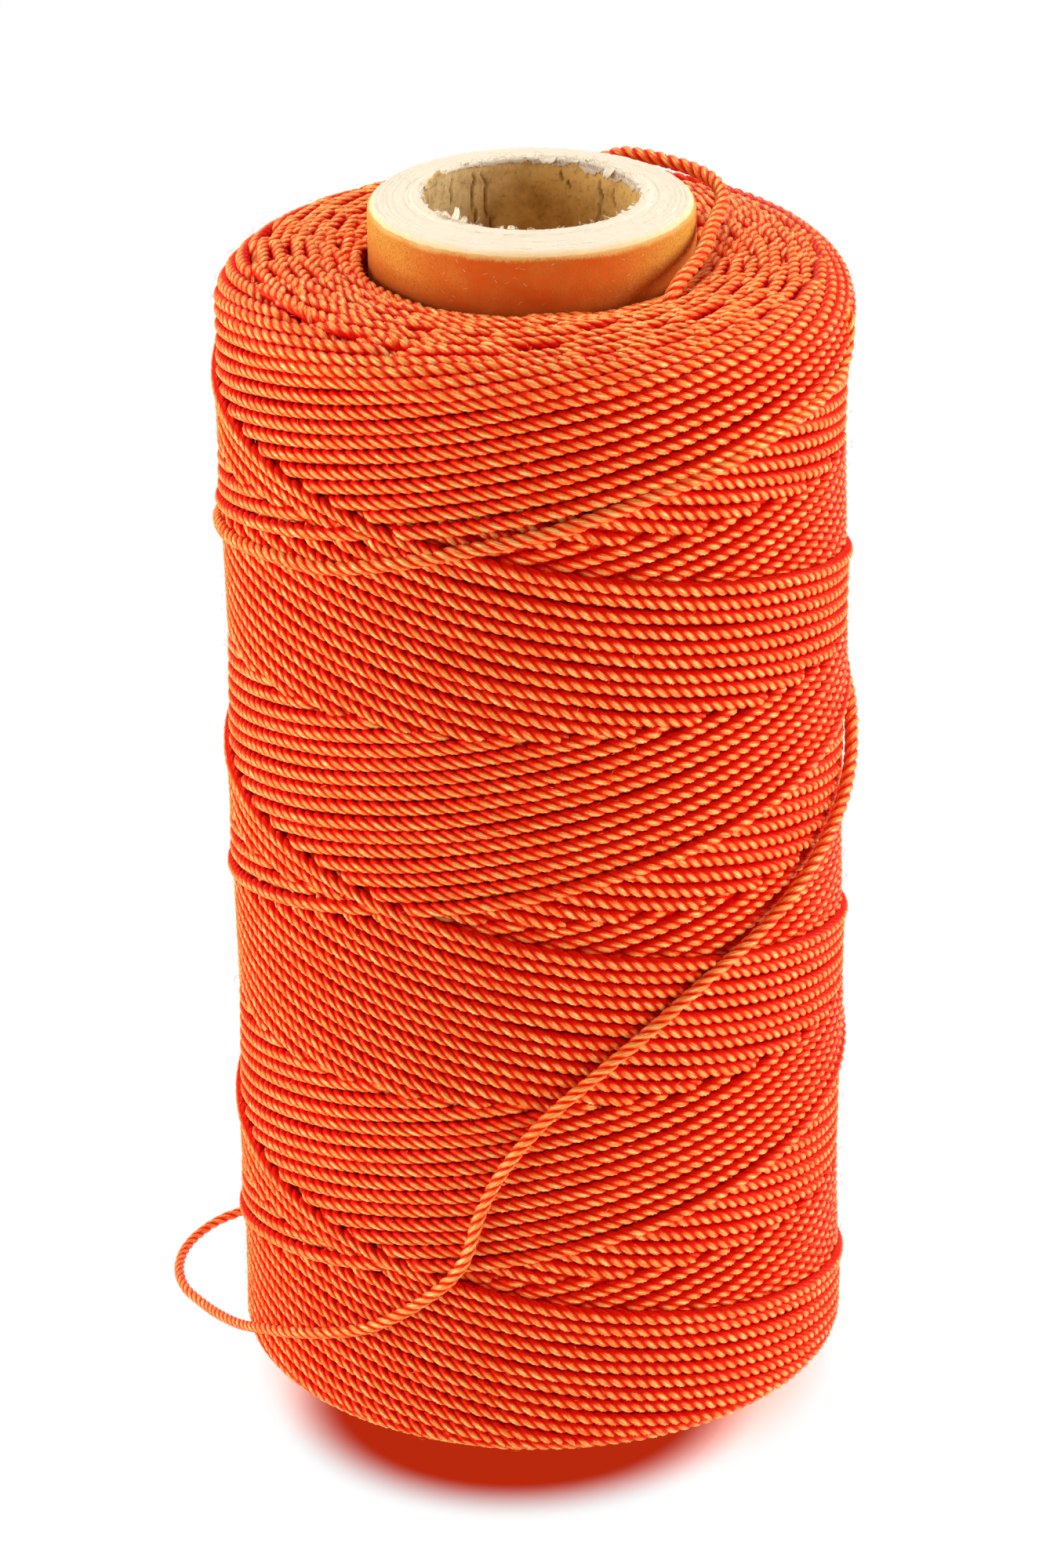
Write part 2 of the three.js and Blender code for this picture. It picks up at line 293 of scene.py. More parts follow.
class ThreadMesh:
    """Collects three-ply tubes and makes one mesh object of them."""

    def __init__(self, strands=0):
        self.thread = settings()[0]
        self.ring_gap = self.thread.lay / RINGS_PER_LAY
        self.strands = strands  # numbers the strands, and so seeds their unevenness
        self.vertices, self.openness = [], []
        self.quads, self.fans, self.quad_uvs, self.fan_uvs = [], [], [], []
        self.count = 0
        self.section_outline()

    def section_outline(self):
        """Sets angles and radii, in diameters, round three plies that touch, with a point in each groove."""
        offset, ply_radius = self.thread.ply_offset, self.thread.ply_radius
        angles, radii = [], []
        for point in range(SECTION):
            local = math.radians(-60 + 120 * (point % POINTS_PER_PLY) / POINTS_PER_PLY)
            across = offset * math.sin(local)
            radii.append(offset * math.cos(local) + math.sqrt(ply_radius ** 2 - across ** 2))
            angles.append(math.radians(120 * (point // POINTS_PER_PLY)) + local)
        self.angles, self.radii = np.array(angles), np.array(radii)

    def add(self, line, outward, gauge=1.0, twist_at=None, bare=False, worn_side=PAINTED_LIGHT_TILT):
        """line and outward: evenly spaced centres and the directions that count as up from the surface.
        twist_at is "start" or "end" where the plies have to meet another piece's. A bare thread has no
        neighbours pressed against its sides."""
        thread = self.thread
        self.strands += 1
        source = np.random.default_rng(1000 + self.strands)
        rings = len(line)
        along = unit(np.gradient(line, axis=0))
        up = unit(outward - along * np.sum(outward * along, axis=1, keepdims=True))
        side = np.cross(along, up)
        run = run_along(line)
        twist = 2 * math.pi * run / thread.lay
        if twist_at is None:
            twist = twist + source.uniform(0, 2 * math.pi)
            twist = twist + 0.22 * waver(run, 5000 + self.strands, 6 * thread.lay)
        elif twist_at == "end":
            twist = twist - twist[-1]
        turn = self.angles[None, :] + twist[:, None]
        thick = thread.diameter * np.broadcast_to(gauge, (rings,))
        thick = thick * (1 + 0.025 * waver(run, 9000 + self.strands, 4 * thread.lay))
        reach = self.radii[None, :] * thick[:, None]
        ring = (line[:, None, :] + reach[:, :, None] * (
            np.cos(turn)[:, :, None] * up[:, None, :] + np.sin(turn)[:, :, None] * side[:, None, :]))
        ends = np.stack([line[0] - along[0] * 0.12 * thick[0], line[-1] + along[-1] * 0.12 * thick[-1]])
        self.vertices.append(np.vstack([ring.reshape(-1, 3), ends]))
        # Openness: how far each point faces out from its turn, greatest a little off the top towards the
        # side that is painted as lit. The thread's material paints shade where it is low and highlights
        # where it is high.
        upward = np.cos(turn - worn_side) * self.radii[None, :] / 0.5
        upward = np.maximum(upward, BARE_OPENNESS) if bare else upward
        self.openness.append(np.concatenate([upward.ravel(), [0.5, 0.5]]))
        column = np.arange(SECTION)
        following = (column + 1) % SECTION
        row = self.count + SECTION * np.arange(rings - 1)[:, None]
        self.quads.append(together(row + column, row + following, row + SECTION + following,
                                   row + SECTION + column).reshape(-1, 4))
        u = run / thread.diameter + 37.0 * self.strands % 211
        v, v_next = column / SECTION, (column + 1) / SECTION
        near, far = u[:-1, None], u[1:, None]
        corners = [together(*corner) for corner in ((near, v), (near, v_next), (far, v_next), (far, v))]
        self.quad_uvs.append(np.stack(corners, axis=-2).reshape(-1, 4, 2))
        start = self.count + column
        finish = start + SECTION * (rings - 1)
        tip = self.count + rings * SECTION
        self.add_fan(start[following], start, tip, u[0], v_next, v)
        self.add_fan(finish, finish[following], tip + 1, u[-1], v, v_next)
        self.count = tip + 2

    def add_fan(self, first, second, tip, u, v_first, v_second):
        """Closes one end of a strand with triangles round its tip."""
        self.fans.append(together(first, second, tip))
        corners = [together(u, v) for v in (v_first, v_second, (v_first + v_second) / 2)]
        self.fan_uvs.append(np.stack(corners, axis=-2))

    def finish(self, name):
        quads, fans = np.vstack(self.quads), np.vstack(self.fans)
        vertices = np.vstack(self.vertices)
        mesh = bpy.data.meshes.new(name)
        mesh.vertices.add(len(vertices))
        mesh.vertices.foreach_set("co", vertices.astype(np.float32).ravel())
        mesh.loops.add(quads.size + fans.size)
        corners = np.concatenate([quads.ravel(), fans.ravel()])
        mesh.loops.foreach_set("vertex_index", corners.astype(np.int32))
        mesh.polygons.add(len(quads) + len(fans))
        starts = np.concatenate([4 * np.arange(len(quads)), quads.size + 3 * np.arange(len(fans))])
        mesh.polygons.foreach_set("loop_start", starts.astype(np.int32))
        mesh.polygons.foreach_set("use_smooth", np.ones(len(starts), bool))
        uvs = np.concatenate([np.vstack(found).reshape(-1, 2) for found in (self.quad_uvs, self.fan_uvs)])
        mesh.uv_layers.new(name="ply").data.foreach_set("uv", uvs.astype(np.float32).ravel())
        mesh.update(calc_edges=True)
        mesh.validate()
        openness = mesh.attributes.new("openness", "FLOAT", "POINT")
        openness.data.foreach_set("value", np.concatenate(self.openness).astype(np.float32))
        mesh.materials.append(material("dyed_thread"))
        return new_object(name, mesh)


# Package: its surface, and which stretches of the thread show on it

class PackageSurface:
    """One distance along the package's outline, equal to the height on its straight side."""

    def __init__(self, winding, tube_radius):
        crest = winding.radius - winding.top_shoulder_width
        foot = winding.radius - winding.bottom_shoulder_width
        top_side = winding.top - winding.top_shoulder_height
        bottom_side = winding.bottom + winding.bottom_shoulder_height
        quarter = np.linspace(0, math.pi / 2, 60)
        inner = np.linspace(tube_radius, foot, 30)[:-1]
        dished = np.linspace(crest, tube_radius, 40)[1:]
        inward = (crest - dished) / (crest - tube_radius)
        self.outline = np.vstack([
            together(inner, winding.bottom),
            together(foot + winding.bottom_shoulder_width * np.sin(quarter),
                     bottom_side - winding.bottom_shoulder_height * np.cos(quarter)),
            together(crest + winding.top_shoulder_width * np.cos(quarter),
                     top_side + winding.top_shoulder_height * np.sin(quarter)),
            together(dished, winding.top - winding.top_dish * inward ** 2)])
        run = run_along(self.outline)
        self.distance = run - run[len(inner) + len(quarter) - 1] + bottom_side
        slope = unit(np.gradient(self.outline, self.distance, axis=0))
        self.facing = together(slope[:, 1], -slope[:, 0])
        self.lowest, self.highest = self.distance[0], self.distance[-1]

    def at(self, distance, depth):
        """Radius and height at a distance along the surface and a depth under it, and the way it faces."""
        radius, height, out, rise = (np.interp(distance, self.distance, values) for values in (
            *self.outline.T, *self.facing.T))
        return radius - depth * out, height - depth * rise, out, rise

    def line(self, bearing, distance, depth):
        """Points and outward directions for bearings in degrees."""
        radius, height, out, rise = self.at(distance, depth)
        turn = np.radians(bearing)
        east, north = np.sin(turn), -np.cos(turn)
        return together(radius * east, radius * north, height), together(out * east, out * north, rise)


# How far the newest turns stand above the rest.
NEWEST_PROUD = 0.22 * MM
# How far past its turning point a pass has gone under its neighbour, and where it ends there, both in
# spaces between crossings.
UNDER_NEIGHBOUR = 1.15
PAST_TURNING = 1.6


class Winding:
    """Works out which stretch of each pass shows, and how deep it lies."""

    def __init__(self):
        self.thread, self.winding = thread, winding = settings()[:2]
        self.surface = PackageSurface(winding, TUBE_RADIUS + 0.1 * MM)
        self.slope = winding.lead / 360.0
        self.pitch = winding.lead / winding.passes
        self.beside = 360.0 / winding.passes / 2  # degrees along one pass from one crossing to the next
        self.centre = 0.5 * thread.diameter
        self.under = 0.70 * thread.diameter
        middle = (winding.newest_fall + winding.newest_rise) / 2
        self.top_turning = middle + winding.turns * winding.lead / 2
        self.bottom_turning = middle - winding.turns * winding.lead / 2

    def height(self, index, bearing, rising):
        """Height of a pass: 0 is the newest, and each older one lies a pitch further on."""
        newest, way = (self.winding.newest_rise, 1) if rising else (self.winding.newest_fall, -1)
        return newest + way * self.pitch * index + way * self.slope * bearing

    def inward(self, index):
        """How much further in an older pass turns back."""
        return self.winding.end_pitch * index / self.winding.passes

    def turning_bearing(self, index, rising):
        """Where a rising pass turns back at the top, or a falling one at the bottom."""
        if rising:
            run = self.top_turning - self.winding.newest_rise
        else:
            run = self.winding.newest_fall - self.bottom_turning
        return (run + self.inward(index) - self.pitch * index) / self.slope

    def stretches(self, index, rising):
        """Bearings where a pass shows, as (start, end): start comes out from under the newest pass of the
        other direction, end goes under an equally old one."""
        winding = self.winding
        last = self.turning_bearing(index, rising)
        first = last - 360.0 * winding.turns - 2 * self.inward(index) / self.slope
        if index == 0 and not rising:
            return last, [(first, last)]
        gap = (winding.newest_rise - winding.newest_fall) / winding.lead
        meeting = -180.0 * (gap + index / winding.passes)
        shown = 180.0 * (1 - (index - (0 if rising else 1)) / winding.passes)
        starts = [meeting + 180.0 * half for half in range(-8, 9)]
        return last, [(start, start + shown) for start in starts if first - 1e-6 <= start < last - 1e-6]

    def turned_back(self, index, bearing, turning, rising):
        """Distance along the surface of a pass that turns back at a bearing, in a rounded peak."""
        leg = self.slope * np.hypot(bearing - turning, self.winding.end_rounding)
        if rising:
            return self.top_turning + self.inward(index) - leg
        return self.bottom_turning - self.inward(index) + leg

    def natural_depth(self, index, distance):
        """Older passes lie deeper, less so near the ends."""
        near_end = np.maximum(smooth_step(distance, self.top_turning - 14 * MM, self.top_turning),
                              1 - smooth_step(distance, self.bottom_turning, self.bottom_turning + 9 * MM))
        return self.winding.growth * index / self.winding.passes * (1 - 0.5 * near_end)

    def start_dip(self, bearing, start, natural):
        """How far a stretch sinks where it comes out from under the newest pass."""
        room = np.maximum(0.0, self.under - natural)
        return room * (1 - smooth_step(np.abs(bearing - start), 0.5, 0.85 * self.beside))

    def end_dip(self, bearing, end):
        """How far it sinks where it goes under the next pass."""
        return self.under * smooth_step(bearing, end - 0.8 * self.beside, end + 0.05 * self.beside)

    def lay(self, mesh, bearing, distance, depth, gauge=1.0, **more):
        """Adds a strand to a mesh, by bearings, distances along the surface and depths under it."""
        points, outward = self.surface.line(bearing, distance, depth)
        line, up = evenly(points, mesh.ring_gap, outward)
        mesh.add(line, up, gauge, **more)


# Materials

class Finish:
    """A material under construction, with short ways to add its nodes."""

    def __init__(self, name):
        made = bpy.data.materials.new(name)
        made.use_nodes = True
        self.nodes, self.links = made.node_tree.nodes, made.node_tree.links
        self.shader = self.nodes["Principled BSDF"]

    def put(self, socket, value):
        """Links a node's output or writes a number, a colour or a vector."""
        if isinstance(value, bpy.types.NodeSocket):
            self.links.new(value, socket)
        elif isinstance(value, (int, float)):
            socket.default_value = value
        else:
            socket.default_value = (*value, 1) if len(socket.default_value) == 4 else tuple(value)

    def feed(self, node, **values):
        """Feeds inputs by name; an underscore stands for a space."""
        for name, value in values.items():
            self.put(node.inputs[name.replace("_", " ")], value)

    def node(self, kind, output, *values, **choices):
        """Adds a node, sets its choices, feeds its inputs in their order and returns one of its outputs."""
        node = self.nodes.new("ShaderNode" + kind)
        for name, value in choices.items():
            setattr(node, name, value)
        for socket, value in zip(node.inputs, values):
            self.put(socket, value)
        return node.outputs[output]

    def calc(self, operation, *values):
        """A Math node."""
        return self.node("Math", 0, *values, operation=operation)

    def times(self, first, *others):
        for other in others:
            first = self.calc("MULTIPLY", first, other)
        return first

    def plus(self, first, second):
        return self.calc("ADD", first, second)

    def away(self, value, middle):
        """How far a value is from a middle one."""
        return self.calc("ABSOLUTE", self.calc("SUBTRACT", value, middle))

    def ramp(self, value, low, high, first=0.0, last=1.0):
        return self.node("MapRange", 0, value, low, high, first, last, interpolation_type="SMOOTHSTEP")

    def mixed(self, first, last, factor):
        node = self.nodes.new("ShaderNodeMix")
        node.data_type = "RGBA"
        for number, value in ((0, factor), (6, first), (7, last)):
            self.put(node.inputs[number], value)
        return node.outputs[2]

    def over(self, below, above, value, low, high, first=0.0, last=1.0):
        """One colour over another, as much as a ramp of a value says."""
        return self.mixed(below, above, self.ramp(value, low, high, first, last))

    def vector(self, *values):
        return self.node("CombineXYZ", 0, *values)

    def noise(self, place, scale, detail=2.0, roughness=0.6):
        node = self.nodes.new("ShaderNodeTexNoise")
        self.feed(node, Vector=place, Scale=scale, Detail=detail, Roughness=roughness)
        return node.outputs["Fac"]

    def place(self):
        return self.node("TexCoord", "Object")

    def split(self, vector):
        node = self.nodes.new("ShaderNodeSeparateXYZ")
        self.put(node.inputs[0], vector)
        return node.outputs

    def attribute(self, name):
        return self.node("Attribute", "Fac", attribute_name=name)

    def glow(self, colour, strength=1.0):
        return self.node("Emission", 0, colour, strength)

    def either(self, factor, first, last):
        return self.node("MixShader", 0, factor, first, last)

    def round_axis(self, place):
        """Radius, bearing in radians and height of a place."""
        x, y, z = self.split(place)
        radius = self.calc("SQRT", self.plus(self.times(x, x), self.times(y, y)))
        return radius, self.calc("ARCTAN2", x, y), z

    def bump(self, height, strength, distance):
        node = self.nodes.new("ShaderNodeBump")
        self.feed(node, Strength=strength, Distance=distance, Height=height)
        self.feed(self.shader, Normal=node.outputs[0])

    def surface(self, colour, roughness, gloss):
        self.feed(self.shader, Base_Color=colour, Roughness=roughness, Specular_IOR_Level=gloss)

    def shows(self, shader):
        self.put(self.nodes["Material Output"].inputs["Surface"], shader)


def cut_board(finish):
    """Cream board, with rings where its plies meet and fibres along them."""
    tube = settings()[2]
    place = finish.place()
    radius, bearing, height = finish.round_axis(place)
    rings = finish.noise(finish.vector(
        finish.times(radius, 4200.0), finish.times(bearing, 3.0),
        finish.times(height, 900.0)), 1.0, 3.0, 0.65)
    fibres = finish.noise(place, 2600.0, 3.0, 0.7)
    colour = finish.over(tube.board, tube.board_shade, rings, 0.50, 0.72, 0.0, 0.75)
    colour = finish.over(colour, tube.board_shade, fibres, 0.58, 0.75, 0.0, 0.6)
    rim = TUBE_RADIUS - 0.75 * MM, TUBE_RADIUS - 0.15 * MM
    colour = finish.over(colour, (0.93, 0.64, 0.30), radius, *rim, 0.0, 0.85)
    finish.bump(finish.plus(rings, fibres), 0.9, 0.10 * MM)
    finish.surface(colour, 0.95, 0.05)


def liner_paper(finish):
    """Grey-brown paper with darker flecks and cracks."""
    tube = settings()[2]
    place = finish.place()
    clouds = finish.noise(place, 420.0, 3.0)
    grain = finish.noise(place, 2400.0, 4.0, 0.7)
    specks = finish.noise(place, 5200.0, 1.0)
    # Painted light: paler and greyer towards the bore's left side (-X).
    side = finish.plus(finish.split(place)[0], finish.times(clouds, 4.0 * MM))
    colour = finish.over(tube.liner_painted_light, tube.liner, side, -5.5 * MM, 3.5 * MM)
    colour = finish.over(colour, tube.liner_shade, clouds, 0.42, 0.70, 0.0, 0.45)
    colour = finish.over(colour, tube.liner_shade, grain, 0.50, 0.72, 0.0, 0.55)
    colour = finish.over(colour, (0.72, 0.58, 0.33), specks, 0.66, 0.74, 0.0, 0.8)
    colour = finish.mixed(colour, tube.liner_shade, finish.attribute("crack"))
    finish.bump(grain, 0.8, 0.08 * MM)
    finish.surface(colour, 0.9, 0.2)


def wrap_paper(finish):
    """Golden kraft paper: flecked and worn pale at its ends, with the thread's colour painted on as
    reflection and shade just above the thread and towards the front.
    """
    winding, tube = settings()[1:3]
    place = finish.place()
    bearing, height = finish.round_axis(place)[1:]
    clouds = finish.noise(place, 260.0, 3.0)
    grain = finish.noise(place, 6500.0, 3.0, 0.75)
    fibres = finish.noise(finish.vector(
        finish.times(bearing, 45.0), finish.times(height, 1500.0), clouds), 1.0, 3.0, 0.7)
    colour = finish.over(tube.wrap, (0.92, 0.56, 0.20), fibres, 0.60, 0.74, 0.0, 0.7)
    flecks = finish.ramp(grain, 0.46, 0.62, 0.0, 0.80)
    # Painted reflection and painted shade: the wrap goes over to a dark thread colour just above the thread
    # and towards the front (-Y).
    low = finish.ramp(height, winding.top - 1.5 * MM, winding.top + 3.2 * MM, 0.80, 0.0)
    from_back = finish.away(finish.calc("ABSOLUTE", bearing), math.pi)
    facing = finish.ramp(from_back, 0.25, 1.35, 0.90, 0.0)
    painted_reflection_share = finish.times(finish.calc("MAXIMUM", low, facing), finish.ramp(clouds, 0.2, 0.7, 0.7, 1.0))
    colour = finish.mixed(finish.mixed(colour, tube.wrap_painted_reflection, painted_reflection_share), tube.wrap_shade, flecks)
    uneven = finish.away(height, TUBE_LENGTH / 2)
    for pattern, amount in ((grain, 0.7 * MM), (clouds, 0.9 * MM)):
        uneven = finish.plus(uneven, finish.times(finish.calc("SUBTRACT", pattern, 0.5), amount))
    for worn, first, last in (((0.77, 0.42, 0.12), 0.75, 0.35), ((0.80, 0.49, 0.20), 0.45, 0.15)):
        colour = finish.over(colour, worn, uneven, TUBE_LENGTH / 2 - first * MM, TUBE_LENGTH / 2 - last * MM)
    finish.bump(grain, 1.0, 0.09 * MM)
    finish.surface(colour, 0.8, 0.04)


def wrap_fibre(finish):
    """Pale golden paper fibres."""
    patches = finish.noise(finish.place(), 900.0)
    colour = finish.over((0.84, 0.44, 0.12), (0.95, 0.74, 0.42), patches, 0.4, 0.6)
    finish.surface(colour, 0.8, 0.2)


def loose_filament(finish):
    """Single dyed filaments, paler than the thread."""
    thread = settings()[0]
    patches = finish.noise(finish.place(), 900.0)
    colour = finish.over(thread.colour, thread.pale, patches, 0.35, 0.65, 0.25, 0.9)
    finish.surface(colour, thread.roughness, 0.3)


def dyed_thread(finish):
    """Dyed filaments, with a deep colour painted as shade in the grooves and between turns, and pale streaks
    on the plies' crowns that are partly the filaments' own colour and partly a painted highlight.
    """
    thread = settings()[0]
    along, around = finish.split(finish.node("UVMap", "UV", uv_map="ply"))[:2]
    # Crown: 0 in the grooves between plies, 1 on top of one. Openness: 1 on top of a turn, 0 beside it.
    crown = finish.calc("SINE", finish.times(finish.calc("FRACT", finish.times(around, 3.0)), math.pi))
    openness = finish.attribute("openness")
    # Filaments lean back towards the thread's own direction.
    leaning = finish.plus(around, finish.times(along, 0.19))
    filaments = finish.noise(finish.vector(finish.times(leaning, 34.0), finish.times(along, 0.8)), 1.0)
    patches = finish.noise(finish.place(), 420.0)
    # Each length of thread has taken the dye a little differently.
    length_tone = finish.noise(finish.vector(finish.times(along, 0.035)), 1.0, 1.0)
    # Painted shade: away from a ply's crown and from a turn's open side, the colour goes over to the deep
    # colour.
    ridge = finish.ramp(crown, 0.03, 0.34)
    raised = finish.times(finish.ramp(openness, 0.30, 0.92), ridge)
    top = finish.over(thread.colour, thread.dark_dye_and_shade, length_tone, 0.40, 0.62, 0.0, 0.45)
    dye_and_painted_shade = finish.mixed(thread.dark_dye_and_shade, top, raised)
    # Pale streaks on open crowns are partly the filaments' own colour and partly a painted highlight. The
    # paler streaks over them are painted highlights.
    pale_and_painted_highlight = finish.times(
        finish.ramp(filaments, 0.34, 0.58, 0.45, 1.0), finish.ramp(crown, 0.35, 0.92),
        finish.ramp(openness, 0.42, 0.95), finish.ramp(patches, 0.3, 0.7, 0.75, 1.0))
    painted_highlight_streaks = finish.times(finish.ramp(filaments, 0.50, 0.62), pale_and_painted_highlight)
    colour = finish.mixed(finish.mixed(dye_and_painted_shade, thread.pale, pale_and_painted_highlight), (1.0, 0.68, 0.27), painted_highlight_streaks)
    metallic = finish.times(ridge, finish.ramp(openness, 0.35, 0.95), thread.satin)
    finish.feed(finish.shader, Metallic=metallic, Specular_Tint=thread.gloss)
    finish.bump(finish.plus(finish.times(filaments, 0.4), finish.ramp(crown, 0.0, 0.35)), 0.8, 0.07 * MM)
    finish.surface(colour, thread.roughness, 0.26)


def table(finish):
    """Pale table that the camera sees brighter, so that only the deepest shade under the spool shows, with a
    painted shadow in the thread's colour under the front of the spool. Beyond the spool it glows to diffuse
    rays, which lights the spool from below."""
    stage = settings()[3]
    finish.surface(stage.floor, 0.9, 0.1)
    plain = finish.shader.outputs[0]
    place = finish.place()
    far = finish.ramp(finish.node("VectorMath", "Value", place, operation="LENGTH"), 0.019, 0.026)
    # Painted shadow: near a point in front of the axis, camera and glossy rays see a glow in the painted
    # shadow's colour instead of the table.
    painted_shadow_distance = finish.node("VectorMath", "Value", place, (-0.0022, -0.0076, 0), operation="DISTANCE")
    near = finish.ramp(painted_shadow_distance, 0.0206, 0.0146)
    brighter = finish.node("AddShader", 0, plain, finish.node("BsdfDiffuse", 0, stage.floor))
    pale = finish.either(far, brighter, finish.glow((1, 1, 1)))
    seen = finish.either(near, pale, finish.glow(stage.painted_shadow_colour))
    path = finish.nodes.new("ShaderNodeLightPath").outputs
    lit = finish.either(finish.times(far, path["Is Diffuse Ray"]), plain,
                        finish.glow((1.0, 0.98, 0.95), stage.table_light))
    direct = finish.calc("MAXIMUM", path["Is Camera Ray"], path["Is Glossy Ray"])
    finish.shows(finish.either(direct, lit, seen))


def backdrop(finish):
    """Evenly lit white paper behind the spool."""
    finish.shows(finish.glow((1, 1, 1)))


MATERIALS = {make.__name__: make for make in (
    cut_board, liner_paper, wrap_paper, wrap_fibre, loose_filament, dyed_thread, table, backdrop)}


def material(name):
    """One of the materials above, made the first time that it is asked for."""
    if name not in bpy.data.materials:
        MATERIALS[name](Finish(name))
    return bpy.data.materials[name]


# Paper: turned tubes, torn sheets and fibres

def dress(piece, slot, *nodes):
    """Parents a finished piece to the root body and hides the imported parts that it replaces; slot is not
    used.
    """
    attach(piece, "root")
    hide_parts(*nodes)
    return piece


def pick(piece):
    """Makes one piece the only selected and active one."""
    bpy.ops.object.select_all(action="DESELECT")
    bpy.context.view_layer.objects.active = piece
    piece.select_set(True)


def turned(name, outline, segments):
    """A body of revolution: a ring is extruded, widened and raised from station to station of a closed
    outline of (radius, height), and its last ring is merged with its first."""
    radius, height = outline[0]
    bpy.ops.object.select_all(action="DESELECT")
    bpy.ops.mesh.primitive_circle_add(vertices=segments, radius=radius, location=(0, 0, height))
    piece = bpy.context.object
    piece.name = piece.data.name = name
    bpy.ops.object.transform_apply(location=True, rotation=True, scale=True)
    bpy.ops.object.mode_set(mode="EDIT")
    bpy.ops.mesh.select_mode(type="EDGE")
    bpy.ops.mesh.select_all(action="SELECT")
    for next_radius, next_height in list(outline[1:]) + [outline[0]]:
        bpy.ops.mesh.extrude_region_move(
            TRANSFORM_OT_translate={"value": (0, 0, next_height - height)})
        scale = next_radius / radius
        bpy.ops.transform.resize(value=(scale, scale, 1), center_override=(0, 0, next_height))
        radius, height = next_radius, next_height
    bpy.ops.mesh.select_all(action="SELECT")
    bpy.ops.mesh.remove_doubles(threshold=0.002 * MM)
    bpy.ops.mesh.normals_make_consistent(inside=False)
    bpy.ops.object.mode_set(mode="OBJECT")
    bpy.ops.object.shade_smooth_by_angle(angle=math.radians(40))
    return piece


def roughen(piece, amount, grain, low, high):
    """Makes the stretches of a piece beyond two heights uneven."""
    group = piece.vertex_groups.new(name="rough")
    group.add([v.index for v in piece.data.vertices if v.co.z < low or v.co.z > high], 1.0, "REPLACE")
    texture = bpy.data.textures.new(piece.name + "_grain", "CLOUDS")
    texture.noise_scale = grain
    texture.noise_depth = 4
    modifier = piece.modifiers.new("rough", "DISPLACE")
    modifier.texture = texture
    modifier.texture_coords = "LOCAL"
    modifier.vertex_group = "rough"
    modifier.strength = amount
    modifier.mid_level = 0.5
    pick(piece)
    bpy.ops.object.modifier_apply(modifier="rough")
    piece.vertex_groups.remove(piece.vertex_groups["rough"])


class SheetMesh:
    """Collects thin torn sheets and fine fibres and makes one mesh object of them."""

    def __init__(self):
        self.vertices, self.faces = [], []
        self.count = 0

    def add_block(self, points, faces):
        self.vertices.append(points)
        self.faces.extend(tuple(self.count + corner for corner in face) for face in faces)
        self.count += len(points)

    def add_sheet(self, grid, thickness, closed=False):
        """grid: rows by columns by 3. The sheet gets a back, offset along its own normals, and edges."""
        rows, columns = grid.shape[:2]
        down = np.gradient(grid, axis=0)
        along = (np.roll(grid, -1, 1) - np.roll(grid, 1, 1)) if closed else np.gradient(grid, axis=1)
        facing = unit(np.cross(along, down))
        front = (grid + facing * thickness / 2).reshape(-1, 3)
        back = (grid - facing * thickness / 2).reshape(-1, 3)
        half = rows * columns
        index = np.arange(half).reshape(rows, columns).tolist()
        faces = []
        for near, far in zip(index, index[1:]):
            for column in range(columns if closed else columns - 1):
                following = (column + 1) % columns
                corners = (near[column], near[following], far[following], far[column])
                faces.append(corners)
                faces.append(tuple(half + corner for corner in reversed(corners)))
        if closed:
            edges = ((index[0] + index[0][:1], 1), (index[-1] + index[-1][:1], -1))
        else:
            right, left = [row[-1] for row in index[1:]], [row[0] for row in index[-2::-1]]
            edges = ((index[0] + right + index[-1][-2::-1] + left, 1),)
        for edge, way in edges:
            faces += [(a, half + a, half + b, b)[::way] for a, b in zip(edge, edge[1:])]
        self.add_block(np.vstack([front, back]), faces)

    def add_fibre(self, points, radius):
        """A three-sided fibre that comes to a point at both ends."""
        along = unit(np.gradient(points, axis=0))
        side = unit(np.cross(along, np.array([0.31, 0.52, 0.79])))
        up = np.cross(side, along)
        rings = []
        for turn in (2 * math.pi * corner / 3 for corner in range(3)):
            rings.append(points[1:-1] + radius * (math.cos(turn) * side[1:-1] + math.sin(turn) * up[1:-1]))
        body = np.stack(rings, axis=1).reshape(-1, 3)
        count = len(points) - 2
        first, last = 3 * count, 3 * count + 1
        faces = []
        for corner, following in ((0, 1), (1, 2), (2, 0)):
            faces.append((first, following, corner))
            faces.append((last, 3 * count - 3 + corner, 3 * count - 3 + following))
            for a, b in ((3 * ring + corner, 3 * ring + following) for ring in range(count - 1)):
                faces.append((a, b, b + 3, a + 3))
        self.add_block(np.vstack([body, points[:1], points[-1:]]), faces)

    def finish(self, name, finish_name):
        mesh = bpy.data.meshes.new(name)
        mesh.from_pydata(np.vstack(self.vertices).tolist(), [], self.faces)
        mesh.update()
        mesh.shade_smooth()
        mesh.materials.append(material(finish_name))
        piece = new_object(name, mesh)
        pick(piece)
        bpy.ops.object.mode_set(mode="EDIT")
        bpy.ops.mesh.select_all(action="SELECT")
        bpy.ops.mesh.normals_make_consistent(inside=False)
        bpy.ops.object.mode_set(mode="OBJECT")
        return piece


def at_bearing(bearing, radius, height):
    """Places on circles round the axis; bearings in degrees."""
    turn = np.radians(bearing)
    return together(radius * np.sin(turn), -radius * np.cos(turn), height)


def end_height(radius):
    """Height of the tube's worn top end, which rises towards the bore."""
    tube = settings()[2]
    return TUBE_LENGTH + tube.end_rise * (TUBE_RADIUS - radius) / (TUBE_RADIUS - tube.bore_radius)


def between(values, first, last, outside, inside):
    """1 from first to last and 0 beyond, with smooth ends that reach some way outside and inside."""
    return smooth_step(values, first - outside, first + inside) * (
        1 - smooth_step(values, last - inside, last + outside))


